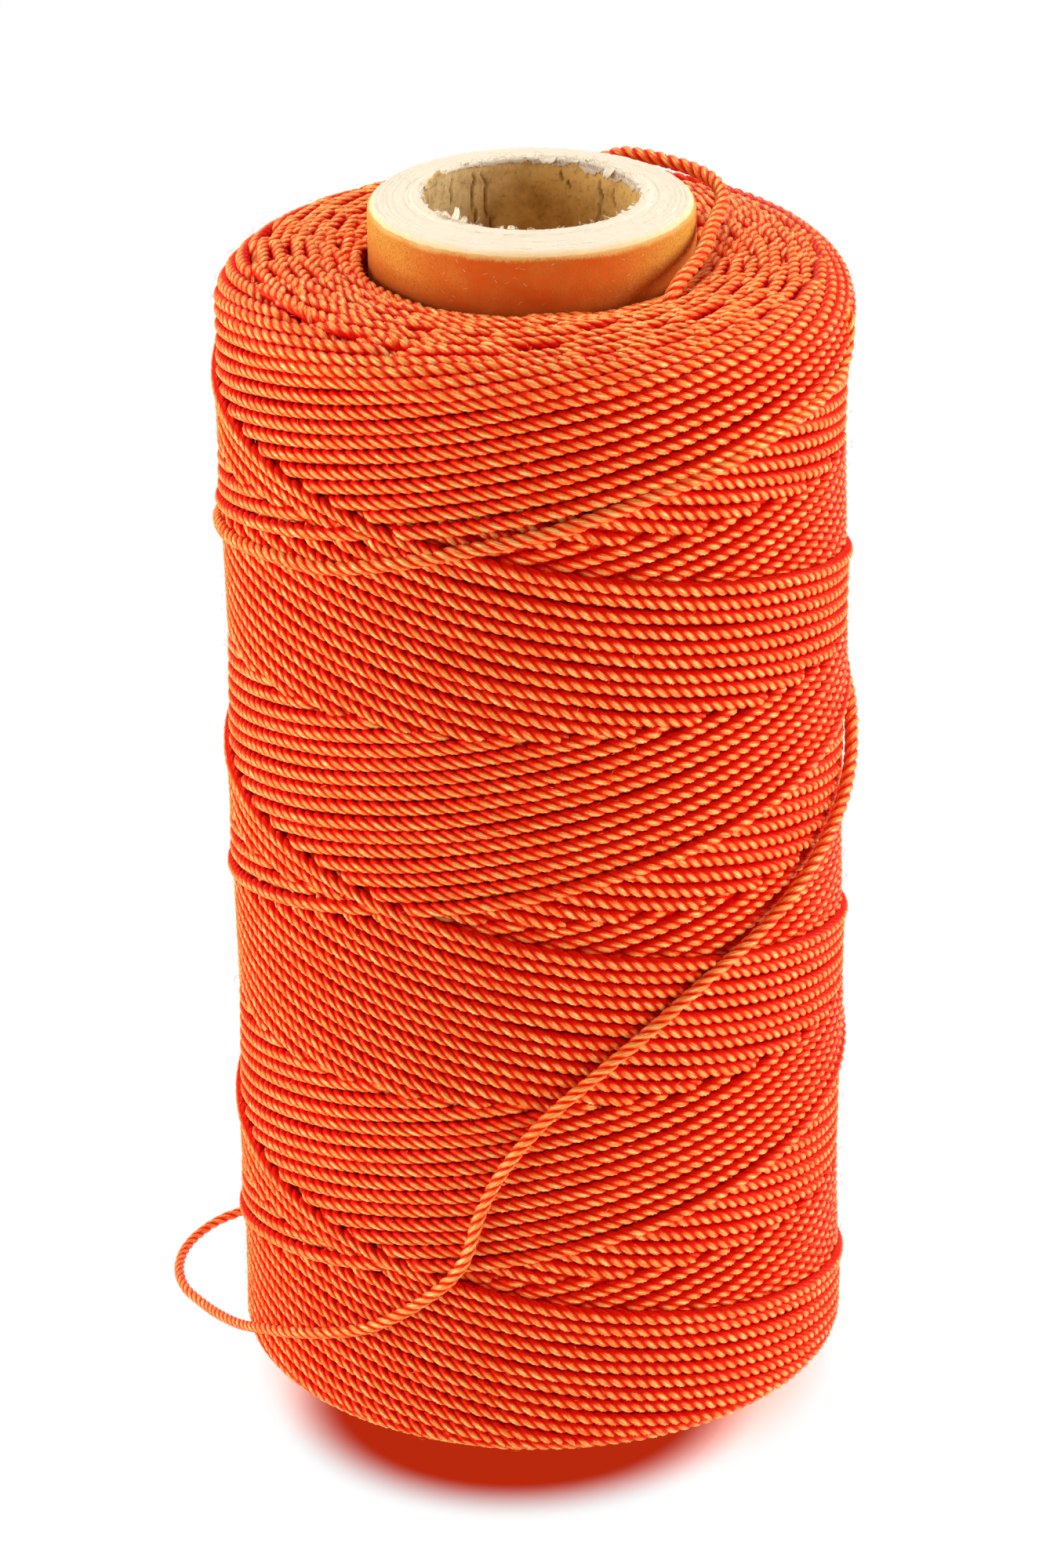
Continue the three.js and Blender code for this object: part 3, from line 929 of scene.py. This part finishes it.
def torn_depth(bearing):
    """How far down the bore's wall the white tear reaches at each bearing."""
    ragged = 0.10 + 0.10 * np.abs(waver(bearing, 61, 31.0)) + 0.16 * np.abs(waver(bearing, 62, 5.3)) ** 1.5
    for first, last, reach in TEARS:
        inside = between(bearing, first, last, 4, 3)
        ragged = ragged + inside * reach * (0.75 + 0.35 * waver(bearing, 63, 17.0))
    return MM * np.maximum(0.02, ragged) * (1 - 0.95 * between(bearing, *LIFTED, 2, 2))


# Operators

class SPOOL_OT_camera(bpy.types.Operator):
    """Sets the camera in front of the spool, above it"""

    bl_idname = "spool.camera"
    bl_label = "Camera"

    def execute(self, context):
        stage = settings()[3]
        data = bpy.data.cameras.new("spool_camera")
        data.sensor_fit = "VERTICAL"
        data.sensor_height = 36.0
        data.lens = stage.focal
        data.clip_start = 0.01
        data.clip_end = 20.0
        camera = new_object("spool_camera", data)
        aim = Vector((stage.aim_side, 0.0, stage.aim_height))
        back = Vector((0.0, -math.cos(stage.elevation), math.sin(stage.elevation)))
        tilt = Matrix.Rotation(math.pi / 2 - stage.elevation, 4, "X")
        camera.matrix_world = (Matrix.Translation(aim + stage.distance * back) @ tilt
                               @ Matrix.Rotation(stage.roll, 4, "Z"))
        context.scene.camera = camera
        return {"FINISHED"}


class SPOOL_OT_free_tail(bpy.types.Operator):
    """Lays the loose end down the front and on the table"""

    bl_idname = "spool.free_tail"
    bl_label = "Free tail"

    def execute(self, context):
        tail = ThreadMesh()
        line = through_points(np.array(TAIL_ROUTE) * MM, tail.ring_gap)
        away_from_axis = unit(line * (1, 1, 0))
        share = np.linspace(0, 1, len(line))
        gauge = 1.0 - 0.12 * smooth_step(share, 0.0, 0.2) - 0.16 * smooth_step(share, 0.45, 0.75)
        tail.add(line, away_from_axis, gauge, twist_at="start", bare=True)
        piece = dress(tail.finish("free_tail"), "thread", "thread_free_tail")
        return {"FINISHED"}


class SPOOL_OT_side_turns(bpy.types.Operator):
    """Winds the passes that show on the package's side, with the newest turning points at its ends"""

    bl_idname = "spool.side_turns"
    bl_label = "Side turns"

    def execute(self, context):
        wound = Winding()
        for rising in (False, True):
            meshes = [ThreadMesh(400 * number + (2000 if rising else 0)) for number in range(5)]
            for index in range(wound.winding.passes):
                # Newer passes show more, so fewer of them go into one mesh.
                hidden = (index / wound.winding.passes - 1) ** 2
                mesh = meshes[int(len(meshes) * (1 - hidden))]
                turning, found = wound.stretches(index, rising)
                for start, end in found:
                    self.add_stretch(wound, mesh, index, rising, start, end, turning)
            for number, mesh in enumerate(meshes):
                name = ("rising" if rising else "falling") + f"_turns_{number + 1}"
                dress(mesh.finish(name), "thread", "thread_outer_winding")
        return {"FINISHED"}

    def seed(self, index, rising, start):
        """Seeds the unevenness of one stretch."""
        return 100 * index + int(start) % 97 + (5000 if rising else 0)

    def add_stretch(self, wound, mesh, index, rising, start, end, turning):
        """Adds one visible stretch of a pass."""
        past = 0.60 * wound.beside
        turns_back = end > turning - wound.beside
        uneven = np.random.default_rng(self.seed(index, rising, start))
        start, end = start + uneven.uniform(-1.0, 1.0), end + uneven.uniform(-1.5, 1.5)
        last = turning + PAST_TURNING * wound.beside if turns_back else end + past
        bearing = np.arange(start - past, last, 0.45)
        height = wound.height(index, bearing, rising)
        if turns_back:
            peak = wound.turned_back(index, bearing, turning, rising)
            height = np.minimum(height, peak) if rising else np.maximum(height, peak)
            end = turning + UNDER_NEIGHBOUR * wound.beside
        height = height + 0.12 * MM * waver(bearing, self.seed(index, rising, start), 130.0)
        natural = wound.natural_depth(index, height) - (NEWEST_PROUD if index == 0 else 0.0)
        depth = wound.centre + natural + wound.start_dip(bearing, start, natural)
        depth = depth + wound.end_dip(bearing, end)
        wound.lay(mesh, bearing, height, depth, wound.thread.squeezed)


class SPOOL_OT_end_turns(bpy.types.Operator):
    """Lays the older turning points that show on the package's top and underside"""

    bl_idname = "spool.end_turns"
    bl_label = "End turns"

    def execute(self, context):
        wound = Winding()
        winding = wound.winding
        outer_sets = (winding.end_sets + 1) // 2
        for rising, filling in ((True, winding.top_passes), (False, winding.bottom_passes)):
            source = np.random.default_rng(11 if rising else 12)
            for ring, first, last, more in (("outer", 1, outer_sets, 0),
                                            ("inner", outer_sets, winding.end_sets, filling)):
                mesh = ThreadMesh((6000 if rising else 7000) + 500 * first)
                for index in range(winding.passes * first, winding.passes * last + more):
                    self.add_peak(wound, mesh, index, rising, source)
                name = ("top_" if rising else "bottom_") + ring + "_turns"
                dress(mesh.finish(name), "thread", "thread_outer_winding")
        return {"FINISHED"}

    def add_peak(self, wound, mesh, index, rising, source):
        """One turning point: it comes out from under the newer set and goes under its newer neighbour."""
        turning = wound.turning_bearing(index, rising) + source.uniform(-3, 3)
        reach = wound.winding.end_pitch / wound.slope
        bearing = np.arange(turning - reach - 9.0, turning + PAST_TURNING * wound.beside, 0.5)
        distance = wound.turned_back(index, bearing, turning, rising)
        room = 0.62 * wound.thread.diameter
        distance = np.clip(distance, wound.surface.lowest + room, wound.surface.highest - room)
        distance = distance + source.uniform(-0.16, 0.16) * MM
        sink = wound.under * (1 - smooth_step(bearing, turning - reach - 7.0, turning - reach + 1.0))
        sink = sink + wound.end_dip(bearing, turning + UNDER_NEIGHBOUR * wound.beside)
        depth = wound.centre + (0.22 + source.uniform(-0.14, 0.14)) * MM + sink
        wound.lay(mesh, bearing, distance, depth, wound.thread.squeezed, worn_side=0.0)


class SPOOL_OT_crossing_turn(bpy.types.Operator):
    """Lays the last turn over the package, down to the tail"""

    bl_idname = "spool.crossing_turn"
    bl_label = "Crossing turn"

    def execute(self, context):
        turn = ThreadMesh(8000)
        stations = through_points([(b, d, 0.0) for b, d in CROSSING_TURN], 0.4)
        bearing, distance = stations[:, 0], stations[:, 1] * MM
        over = 0.14 * MM - 0.42 * MM * smooth_step(-bearing, 215, 266)
        buried = 1.5 * MM * (1 - smooth_step(-distance, -96.6 * MM, -93.0 * MM))
        Winding().lay(turn, bearing, distance, over + buried, twist_at="end", bare=True)
        dress(turn.finish("crossing_turn"), "thread", "thread_crossing_turn")
        return {"FINISHED"}


class SPOOL_OT_slack_turn(bpy.types.Operator):
    """Lays the slack turn beside the tube on the package's top"""

    bl_idname = "spool.slack_turn"
    bl_label = "Slack turn"

    def execute(self, context):
        turn = ThreadMesh(8100)
        line = through_points(np.array(SLACK_TURN) * MM, turn.ring_gap)
        turn.add(line, np.tile((0.0, 0.0, 1.0), (len(line), 1)), bare=True)
        dress(turn.finish("slack_turn"), "thread", "thread_slack_turn")
        return {"FINISHED"}


class SPOOL_OT_inner_turns(bpy.types.Operator):
    """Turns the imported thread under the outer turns"""

    bl_idname = "spool.inner_turns"
    bl_label = "Inner turns"

    def execute(self, context):
        wound = Winding()
        surface = wound.surface
        low, high = 12, 88  # between these heights in millimetres the side has its full depth
        side_depth = wound.winding.growth + 0.60 * wound.thread.diameter
        end_depth = 1.45 * wound.thread.diameter
        distances = np.concatenate([
            np.linspace(surface.lowest, wound.bottom_turning, 12), np.linspace(low, high, 10) * MM,
            np.linspace(wound.top_turning - 5 * MM, surface.highest, 18)])
        on_side = np.minimum(smooth_step(distances, wound.bottom_turning - 3 * MM, low * MM),
                             1 - smooth_step(distances, high * MM, wound.top_turning + 3 * MM))
        radius, height = surface.at(distances, end_depth + (side_depth - end_depth) * on_side)[:2]
        outline = [(max(r, TUBE_RADIUS + 0.05 * MM), h) for r, h in zip(radius, height)]
        piece = turned("inner_turns", outline, segments=128)
        # With no openness attribute, this body takes the thread material's deep painted-shade colour all
        # over.
        piece.data.materials.append(material("dyed_thread"))
        dress(piece, "inner_thread", "thread_under_layers")
        return {"FINISHED"}


class SPOOL_OT_loose_fibres(bpy.types.Operator):
    """Scatters the fine broken filaments that stand off the package"""

    bl_idname = "spool.loose_fibres"
    bl_label = "Loose fibres"

    def execute(self, context):
        wound = Winding()
        source = np.random.default_rng(101)
        sheet = SheetMesh()
        share = np.linspace(0, 1, 6)
        for fibre in range(wound.thread.fibres):
            bearing = source.uniform(-180, 180)
            distance = source.uniform(2.0 * MM, wound.surface.highest - 0.5 * MM)
            length = source.uniform(0.25, 0.8) * MM
            lean = source.uniform(0, 2 * math.pi)
            bend = source.uniform(-0.9, 0.9) * share
            sideways = np.cumsum(np.cos(lean + bend)) / 6 * length
            upwards = np.cumsum(np.sin(lean + bend)) / 6 * length
            stand = source.uniform(0.05, 0.45) * length * np.sin(1.8 * share)
            turn = bearing + np.degrees(sideways / wound.winding.radius)
            points = wound.surface.line(turn, distance + upwards, 0.12 * MM - stand)[0]
            sheet.add_fibre(points, source.uniform(0.010, 0.018) * MM)
        dress(sheet.finish("loose_fibres", "loose_filament"), "thread")
        return {"FINISHED"}


class SPOOL_OT_tube_board(bpy.types.Operator):
    """Builds the tube's white board, with rough ends that show its plies"""

    bl_idname = "spool.tube_board"
    bl_label = "Tube board"

    def execute(self, context):
        tube = settings()[2]
        inner = tube.bore_radius + tube.liner_thickness
        outer = TUBE_RADIUS - tube.wrap_thickness
        stations = np.linspace(inner, outer - 0.14 * MM, 26)
        within = (stations - inner) / tube.ply % 1.0
        drop = 0.02 * MM + 0.05 * MM * (np.abs(within - 0.5) > 0.36)
        edge = [(outer + 0.03 * MM, 0.16), (outer + 0.12 * MM, 0.34),
                (outer + 0.08 * MM, 0.62), (outer, 1.2)]
        profile = [(inner, 0.5 * MM)] + list(zip(stations, drop)) + [(r, d * MM) for r, d in edge]
        outline = [(inner, TUBE_LENGTH / 2)] + [(r, end_height(r) - d) for r, d in profile]
        outline += [(outer, TUBE_LENGTH / 2)] + [(r, d) for r, d in reversed(profile)]
        piece = turned("tube_board", outline, segments=240)
        roughen(piece, amount=0.20 * MM, grain=0.55 * MM, low=0.8 * MM, high=TUBE_LENGTH - 0.8 * MM)
        piece.data.materials.append(material("cut_board"))
        dress(piece, "tube_board", "core_board_plies")
        return {"FINISHED"}


class SPOOL_OT_tube_liner(bpy.types.Operator):
    """Builds the paper that lines the bore, torn along its top and cracked down its wall"""

    bl_idname = "spool.tube_liner"
    bl_label = "Tube liner"

    SEGMENTS = 360
    TORN_BAND = 2 * MM

    def execute(self, context):
        tube = settings()[2]
        inner = tube.bore_radius
        outer = inner + tube.liner_thickness
        top, bottom = end_height(inner) - 0.1 * MM, 0.25 * MM
        near_top = np.linspace(top, top - 9 * MM, 26)
        near_bottom = np.linspace(bottom + 3 * MM, bottom, 6)
        outline = [(outer, bottom), (outer, top)] + [(inner, h) for h in (*near_top, *near_bottom)]
        piece = turned("tube_liner", outline, segments=self.SEGMENTS)
        crack = piece.data.attributes.new("crack", "FLOAT", "POINT")
        amount = np.zeros(len(piece.data.vertices))
        for number in range(len(CRACKS)):
            self.open_crack(piece, amount, number, inner)
        crack.data.foreach_set("value", amount.astype(np.float32))
        self.tear_top(piece, top)
        piece.data.materials.append(material("liner_paper"))
        dress(piece, "tube_liner", "core_liner_ply")
        return {"FINISHED"}

    def open_crack(self, piece, amount, number, inner):
        """Pushes the wall out along a wandering line and marks it as dark."""
        first, top, last, bottom = CRACKS[number]
        first, top, last, bottom = math.radians(first), top * MM, math.radians(last), bottom * MM
        step = 2 * math.pi / self.SEGMENTS
        for vertex in piece.data.vertices:
            height, radius = vertex.co.z, math.hypot(vertex.co.x, vertex.co.y)
            if not bottom <= height <= top or radius > inner + 0.1 * MM:
                continue
            share = (top - height) / (top - bottom)
            wander = 0.018 * math.sin(1700 * height + number) + 0.010 * math.sin(4100 * height + 2 * number)
            target = first + (last - first) * share + wander
            bearing = math.atan2(vertex.co.x, -vertex.co.y)
            away = abs(math.remainder(bearing - target, 2 * math.pi))
            if away > 1.5 * step:
                continue
            taper = min(1.0, 4 * share + 0.3, 4 * (1 - share) + 0.2)
            if away <= 0.5 * step:
                radius, bearing, darkness = inner + 0.28 * MM * taper, target, 1.0
            else:
                radius, darkness = inner - 0.05 * MM * taper, 0.12
            vertex.co.x, vertex.co.y = radius * math.sin(bearing), -radius * math.cos(bearing)
            amount[vertex.index] = max(amount[vertex.index], darkness)

    def tear_top(self, piece, top):
        """Gives the liner's top edge its ragged line."""
        start = top - self.TORN_BAND
        for vertex in piece.data.vertices:
            if vertex.co.z < start:
                continue
            bearing = math.degrees(math.atan2(vertex.co.x, -vertex.co.y))
            drop = float(torn_depth(np.array([bearing]))[0]) * 0.8
            drop += 0.05 * MM * math.sin(41 * bearing) * math.sin(7.3 * bearing)
            vertex.co.z -= drop * ((vertex.co.z - start) / self.TORN_BAND)


class SPOOL_OT_tube_wrap(bpy.types.Operator):
    """Builds the golden paper round the tube, frayed at its ends, with loose fibres on it"""

    bl_idname = "spool.tube_wrap"
    bl_label = "Tube wrap"

    def execute(self, context):
        outer = TUBE_RADIUS
        inner = outer - settings()[2].wrap_thickness
        edge = [(inner, 0.42), (inner + 0.10 * MM, 0.30), (outer - 0.08 * MM, 0.36),
                (outer - 0.02 * MM, 0.55), (outer, 0.8), (outer, 1.3), (outer, 2.2), (outer, 3.6),
                (outer, 5.5)]
        top = [(r, TUBE_LENGTH - d * MM) for r, d in edge]
        outline = [(inner, TUBE_LENGTH / 2)] + top + [(outer, TUBE_LENGTH / 2)]
        outline += [(r, TUBE_LENGTH - h) for r, h in reversed(top)]
        piece = turned("tube_wrap", outline, segments=240)
        roughen(piece, amount=0.16 * MM, grain=0.8 * MM, low=1.0 * MM, high=TUBE_LENGTH - 1.0 * MM)
        piece.data.materials.append(material("wrap_paper"))
        dress(piece, "tube_wrap", "core_outer_wrap")
        self.add_fibres(outer)
        return {"FINISHED"}

    def add_fibres(self, radius):
        """Scatters short fibres that lie on the paper above the thread."""
        source = np.random.default_rng(71)
        sheet = SheetMesh()
        share = np.linspace(0, 1, 6)
        for fibre in range(WRAP_FIBRES):
            bearing, height = source.uniform(-180, 180), source.uniform(97.2, 101.0) * MM
            length, lean = source.uniform(0.15, 0.55) * MM, source.uniform(-0.9, 0.9)
            turn = bearing + np.degrees(share * length * math.cos(lean) / radius)
            bow = 0.12 * length * np.sin(math.pi * share) * source.uniform(-1, 1)
            heights = height + share * length * math.sin(lean) + bow
            lift = radius + (0.02 + 0.10 * source.uniform(0, 1) ** 3 * share) * MM
            sheet.add_fibre(at_bearing(turn, lift, heights), source.uniform(0.010, 0.017) * MM)
        dress(sheet.finish("wrap_fibres", "wrap_fibre"), "tube_wrap")


class SPOOL_OT_torn_edge(bpy.types.Operator):
    """Lays the torn white paper round the bore's top edge, with its flaps and fibres"""

    bl_idname = "spool.torn_edge"
    bl_label = "Torn edge"

    def execute(self, context):
        inner = settings()[2].bore_radius
        sheet = SheetMesh()
        self.add_lip(sheet, inner)
        for flap in FLAPS:
            self.add_flap(sheet, inner, *flap)
        source = np.random.default_rng(97)
        for scrap in range(EDGE_SCRAPS):
            self.add_flap(sheet, inner, source.uniform(-180, 180), source.uniform(1.5, 4.5),
                          source.uniform(-0.30, 0.22), source.uniform(-0.05, 0.22), 200 + scrap)
        self.add_fibres(sheet, inner)
        dress(sheet.finish("torn_edge", "cut_board"), "tube_board")
        corner = SheetMesh()
        self.add_lifted_corner(corner, inner)
        dress(corner.finish("lifted_corner", "liner_paper"), "tube_liner")
        return {"FINISHED"}

    def add_lip(self, sheet, inner):
        """A sheet from the end face over the bore's edge and down to the torn line."""
        bearing = np.arange(-180.0, 180.0, 0.5)
        down = torn_depth(bearing)
        rows = []
        for radius, fall in ((1.05, 0.10), (0.7, -0.01), (0.35, -0.03), (0.12, -0.01), (-0.01, 0.05)):
            uneven = 0.05 * waver(bearing, int(100 * radius) + 300, 9.0)
            radii = inner + (radius + uneven) * MM
            rows.append(at_bearing(bearing, radii, end_height(radii) - (fall + 0.4 * uneven) * MM))
        for share in (0.35, 0.7, 1.0):
            shift = 0.035 * waver(bearing, int(100 * share) + 500, 4.0)
            rows.append(at_bearing(bearing, inner - (0.06 + shift) * MM,
                                   end_height(inner) - 0.05 * MM - share * down))
        sheet.add_sheet(np.stack(rows), 0.06 * MM, closed=True)

    def add_flap(self, sheet, inner, bearing, width, rise, inward, seed):
        """A ragged scrap that stands up from the edge, or hangs down inside where rise is negative."""
        across = np.linspace(-0.5, 0.5, 15)
        rows = []
        ragged = 1 + 0.20 * waver(across, seed, 0.6) + 0.12 * waver(across, seed + 40, 0.17)
        for share in np.linspace(0, 1, 8):
            curl = inward * share + 0.18 * math.sin(2.6 * share)
            narrow = width * (1 - 0.45 * share ** 2)
            height = 0.02 + rise * share * ragged
            radius = inner + 0.10 * MM - curl * MM + 0.05 * MM * waver(across, seed + 80, 0.5)
            rows.append(at_bearing(bearing + narrow * across, radius, end_height(inner) + height * MM))
        sheet.add_sheet(np.stack(rows), 0.07 * MM)

    def add_fibres(self, sheet, inner):
        """Fine white fibres that stand off the torn edge."""
        source = np.random.default_rng(91)
        share = np.linspace(0, 1, 6)
        for fibre in range(EDGE_FIBRES):
            if fibre % 2:
                bearing = source.uniform(-180, 180)
            else:
                bearing = source.normal(*FRAYED[fibre // 2 % 2])
            length = source.uniform(0.2, 0.55) * MM
            if source.uniform() < 0.12:
                length = source.uniform(0.6, 1.1) * MM
            down = source.uniform() < 0.55
            drift = source.uniform(-1, 1) * length
            curve = source.uniform(-0.5, 0.5) * length * share ** 2
            turn = bearing + np.degrees((drift * share + curve) / inner)
            rise = (-0.8 if down else source.uniform(0.2, 0.8)) * length * share
            inwards = (0.35 if down else source.uniform(-0.3, 0.7)) * length * np.sin(1.4 * share)
            start = inner + source.uniform(-0.05, 0.0 if down else 0.5) * MM
            root = end_height(inner) - (0.1 * MM if down else 0.0)
            points = at_bearing(turn, start - inwards, root + rise)
            sheet.add_fibre(points, source.uniform(0.012, 0.024) * MM)

    def add_lifted_corner(self, corner, inner):
        """The liner's corner that stands up above the edge at the back and curls inwards."""
        bearing = np.linspace(*LIFTED, 40)
        rows = []
        crest = 0.45 + 0.30 * waver(bearing, 95, 14.0) + 0.12 * waver(bearing, 96, 3.0)
        crest = crest * smooth_step(bearing, LIFTED[0], LIFTED[0] + 4)
        crest = crest * (1 - smooth_step(bearing, LIFTED[1] - 5, LIFTED[1]))
        for share in np.linspace(0, 1, 8):
            radius = inner - (0.02 + 0.45 * share ** 2) * MM
            rows.append(at_bearing(bearing, radius, end_height(inner) + (-0.7 + share * (0.7 + crest)) * MM))
        corner.add_sheet(np.stack(rows), 0.12 * MM)


class SPOOL_OT_stage(bpy.types.Operator):
    """Lays the floor and sets the lamps"""

    bl_idname = "spool.stage"
    bl_label = "Stage"

    def execute(self, context):
        stage = settings()[3]
        self.plane("floor", 6.0, "table")
        wall = self.plane("backdrop", 3.0, "backdrop")
        bpy.ops.transform.rotate(value=math.pi / 2, orient_axis="X", center_override=(0, 0, 0))
        bpy.ops.transform.translate(value=(0, 1.3, 1.5))
        bpy.ops.object.transform_apply(location=True, rotation=True, scale=True)
        wall.visible_diffuse = False
        wall.visible_shadow = False
        self.surroundings(stage.fill)
        middle = (0, 0, 0.05)
        self.lamp("top_softbox", (0.0, 0.20, 0.70), (0, 0, 0.10), 0.45, stage.top_power)
        self.lamp("left_softbox", (-0.55, -0.12, 0.09), middle, 0.50, stage.side_power)
        self.lamp("right_softbox", (0.55, -0.12, 0.09), middle, 0.50, stage.side_power)
        context.scene.view_settings.view_transform = "Standard"
        return {"FINISHED"}

    def plane(self, name, size, finish_name):
        bpy.ops.object.select_all(action="DESELECT")
        bpy.ops.mesh.primitive_plane_add(size=size, location=(0, 0, 0))
        plane = bpy.context.object
        plane.name = name
        plane.data.materials.append(material(finish_name))
        return plane

    def surroundings(self, fill):
        """A weak even light, which the camera sees as white."""
        world = bpy.data.worlds.new("studio")
        bpy.context.scene.world = world
        world.use_nodes = True
        nodes, links = world.node_tree.nodes, world.node_tree.links
        either = nodes.new("ShaderNodeMixShader")
        lights = (nodes["Background"], nodes.new("ShaderNodeBackground"))
        for number, (light, strength) in enumerate(zip(lights, (fill, 1.0))):
            light.inputs["Color"].default_value = (1, 1, 1, 1)
            light.inputs["Strength"].default_value = strength
            links.new(light.outputs[0], either.inputs[number + 1])
        links.new(nodes.new("ShaderNodeLightPath").outputs["Is Camera Ray"], either.inputs[0])
        links.new(either.outputs[0], nodes["World Output"].inputs["Surface"])

    def lamp(self, name, place, aim, size, power):
        data = bpy.data.lights.new(name, "AREA")
        data.shape = "SQUARE"
        data.size = size
        data.energy = power
        lamp = new_object(name, data)
        lamp.location = place
        lamp.visible_camera = False
        lamp.rotation_euler = (Vector(aim) - Vector(place)).to_track_quat("-Z", "Y").to_euler()


SETTINGS = (
    ("spool_thread", SpoolThreadSettings), ("spool_winding", SpoolWindingSettings),
    ("spool_tube", SpoolTubeSettings), ("spool_stage", SpoolStageSettings),
)
OPERATORS = (
    SPOOL_OT_camera, SPOOL_OT_free_tail, SPOOL_OT_side_turns, SPOOL_OT_end_turns, SPOOL_OT_crossing_turn,
    SPOOL_OT_slack_turn, SPOOL_OT_inner_turns, SPOOL_OT_loose_fibres, SPOOL_OT_tube_board,
    SPOOL_OT_tube_liner, SPOOL_OT_tube_wrap, SPOOL_OT_torn_edge, SPOOL_OT_stage,
)


class SPOOL_PT_panel(bpy.types.Panel):
    """Spool pieces"""

    bl_label = "Thread Spool"
    bl_idname = "SPOOL_PT_panel"
    bl_space_type = "VIEW_3D"
    bl_region_type = "UI"
    bl_category = "Spool"

    def draw(self, context):
        column = self.layout.column()
        for operator in OPERATORS:
            column.operator(operator.bl_idname)


def register():
    for name, group in SETTINGS:
        bpy.utils.register_class(group)
        setattr(bpy.types.Scene, name, bpy.props.PointerProperty(type=group))
    for operator in OPERATORS:
        bpy.utils.register_class(operator)
    bpy.utils.register_class(SPOOL_PT_panel)


def unregister():
    bpy.utils.unregister_class(SPOOL_PT_panel)
    for operator in reversed(OPERATORS):
        bpy.utils.unregister_class(operator)
    for name, group in reversed(SETTINGS):
        delattr(bpy.types.Scene, name)
        bpy.utils.unregister_class(group)


def main():
    register()
    bpy.ops.spool.camera()
    bpy.ops.spool.free_tail()
    bpy.ops.spool.side_turns()
    bpy.ops.spool.end_turns()
    bpy.ops.spool.crossing_turn()
    bpy.ops.spool.slack_turn()
    bpy.ops.spool.inner_turns()
    bpy.ops.spool.loose_fibres()
    bpy.ops.spool.tube_board()
    bpy.ops.spool.tube_liner()
    bpy.ops.spool.tube_wrap()
    bpy.ops.spool.torn_edge()
    bpy.ops.spool.stage()


if __name__ == "__main__":
    main()
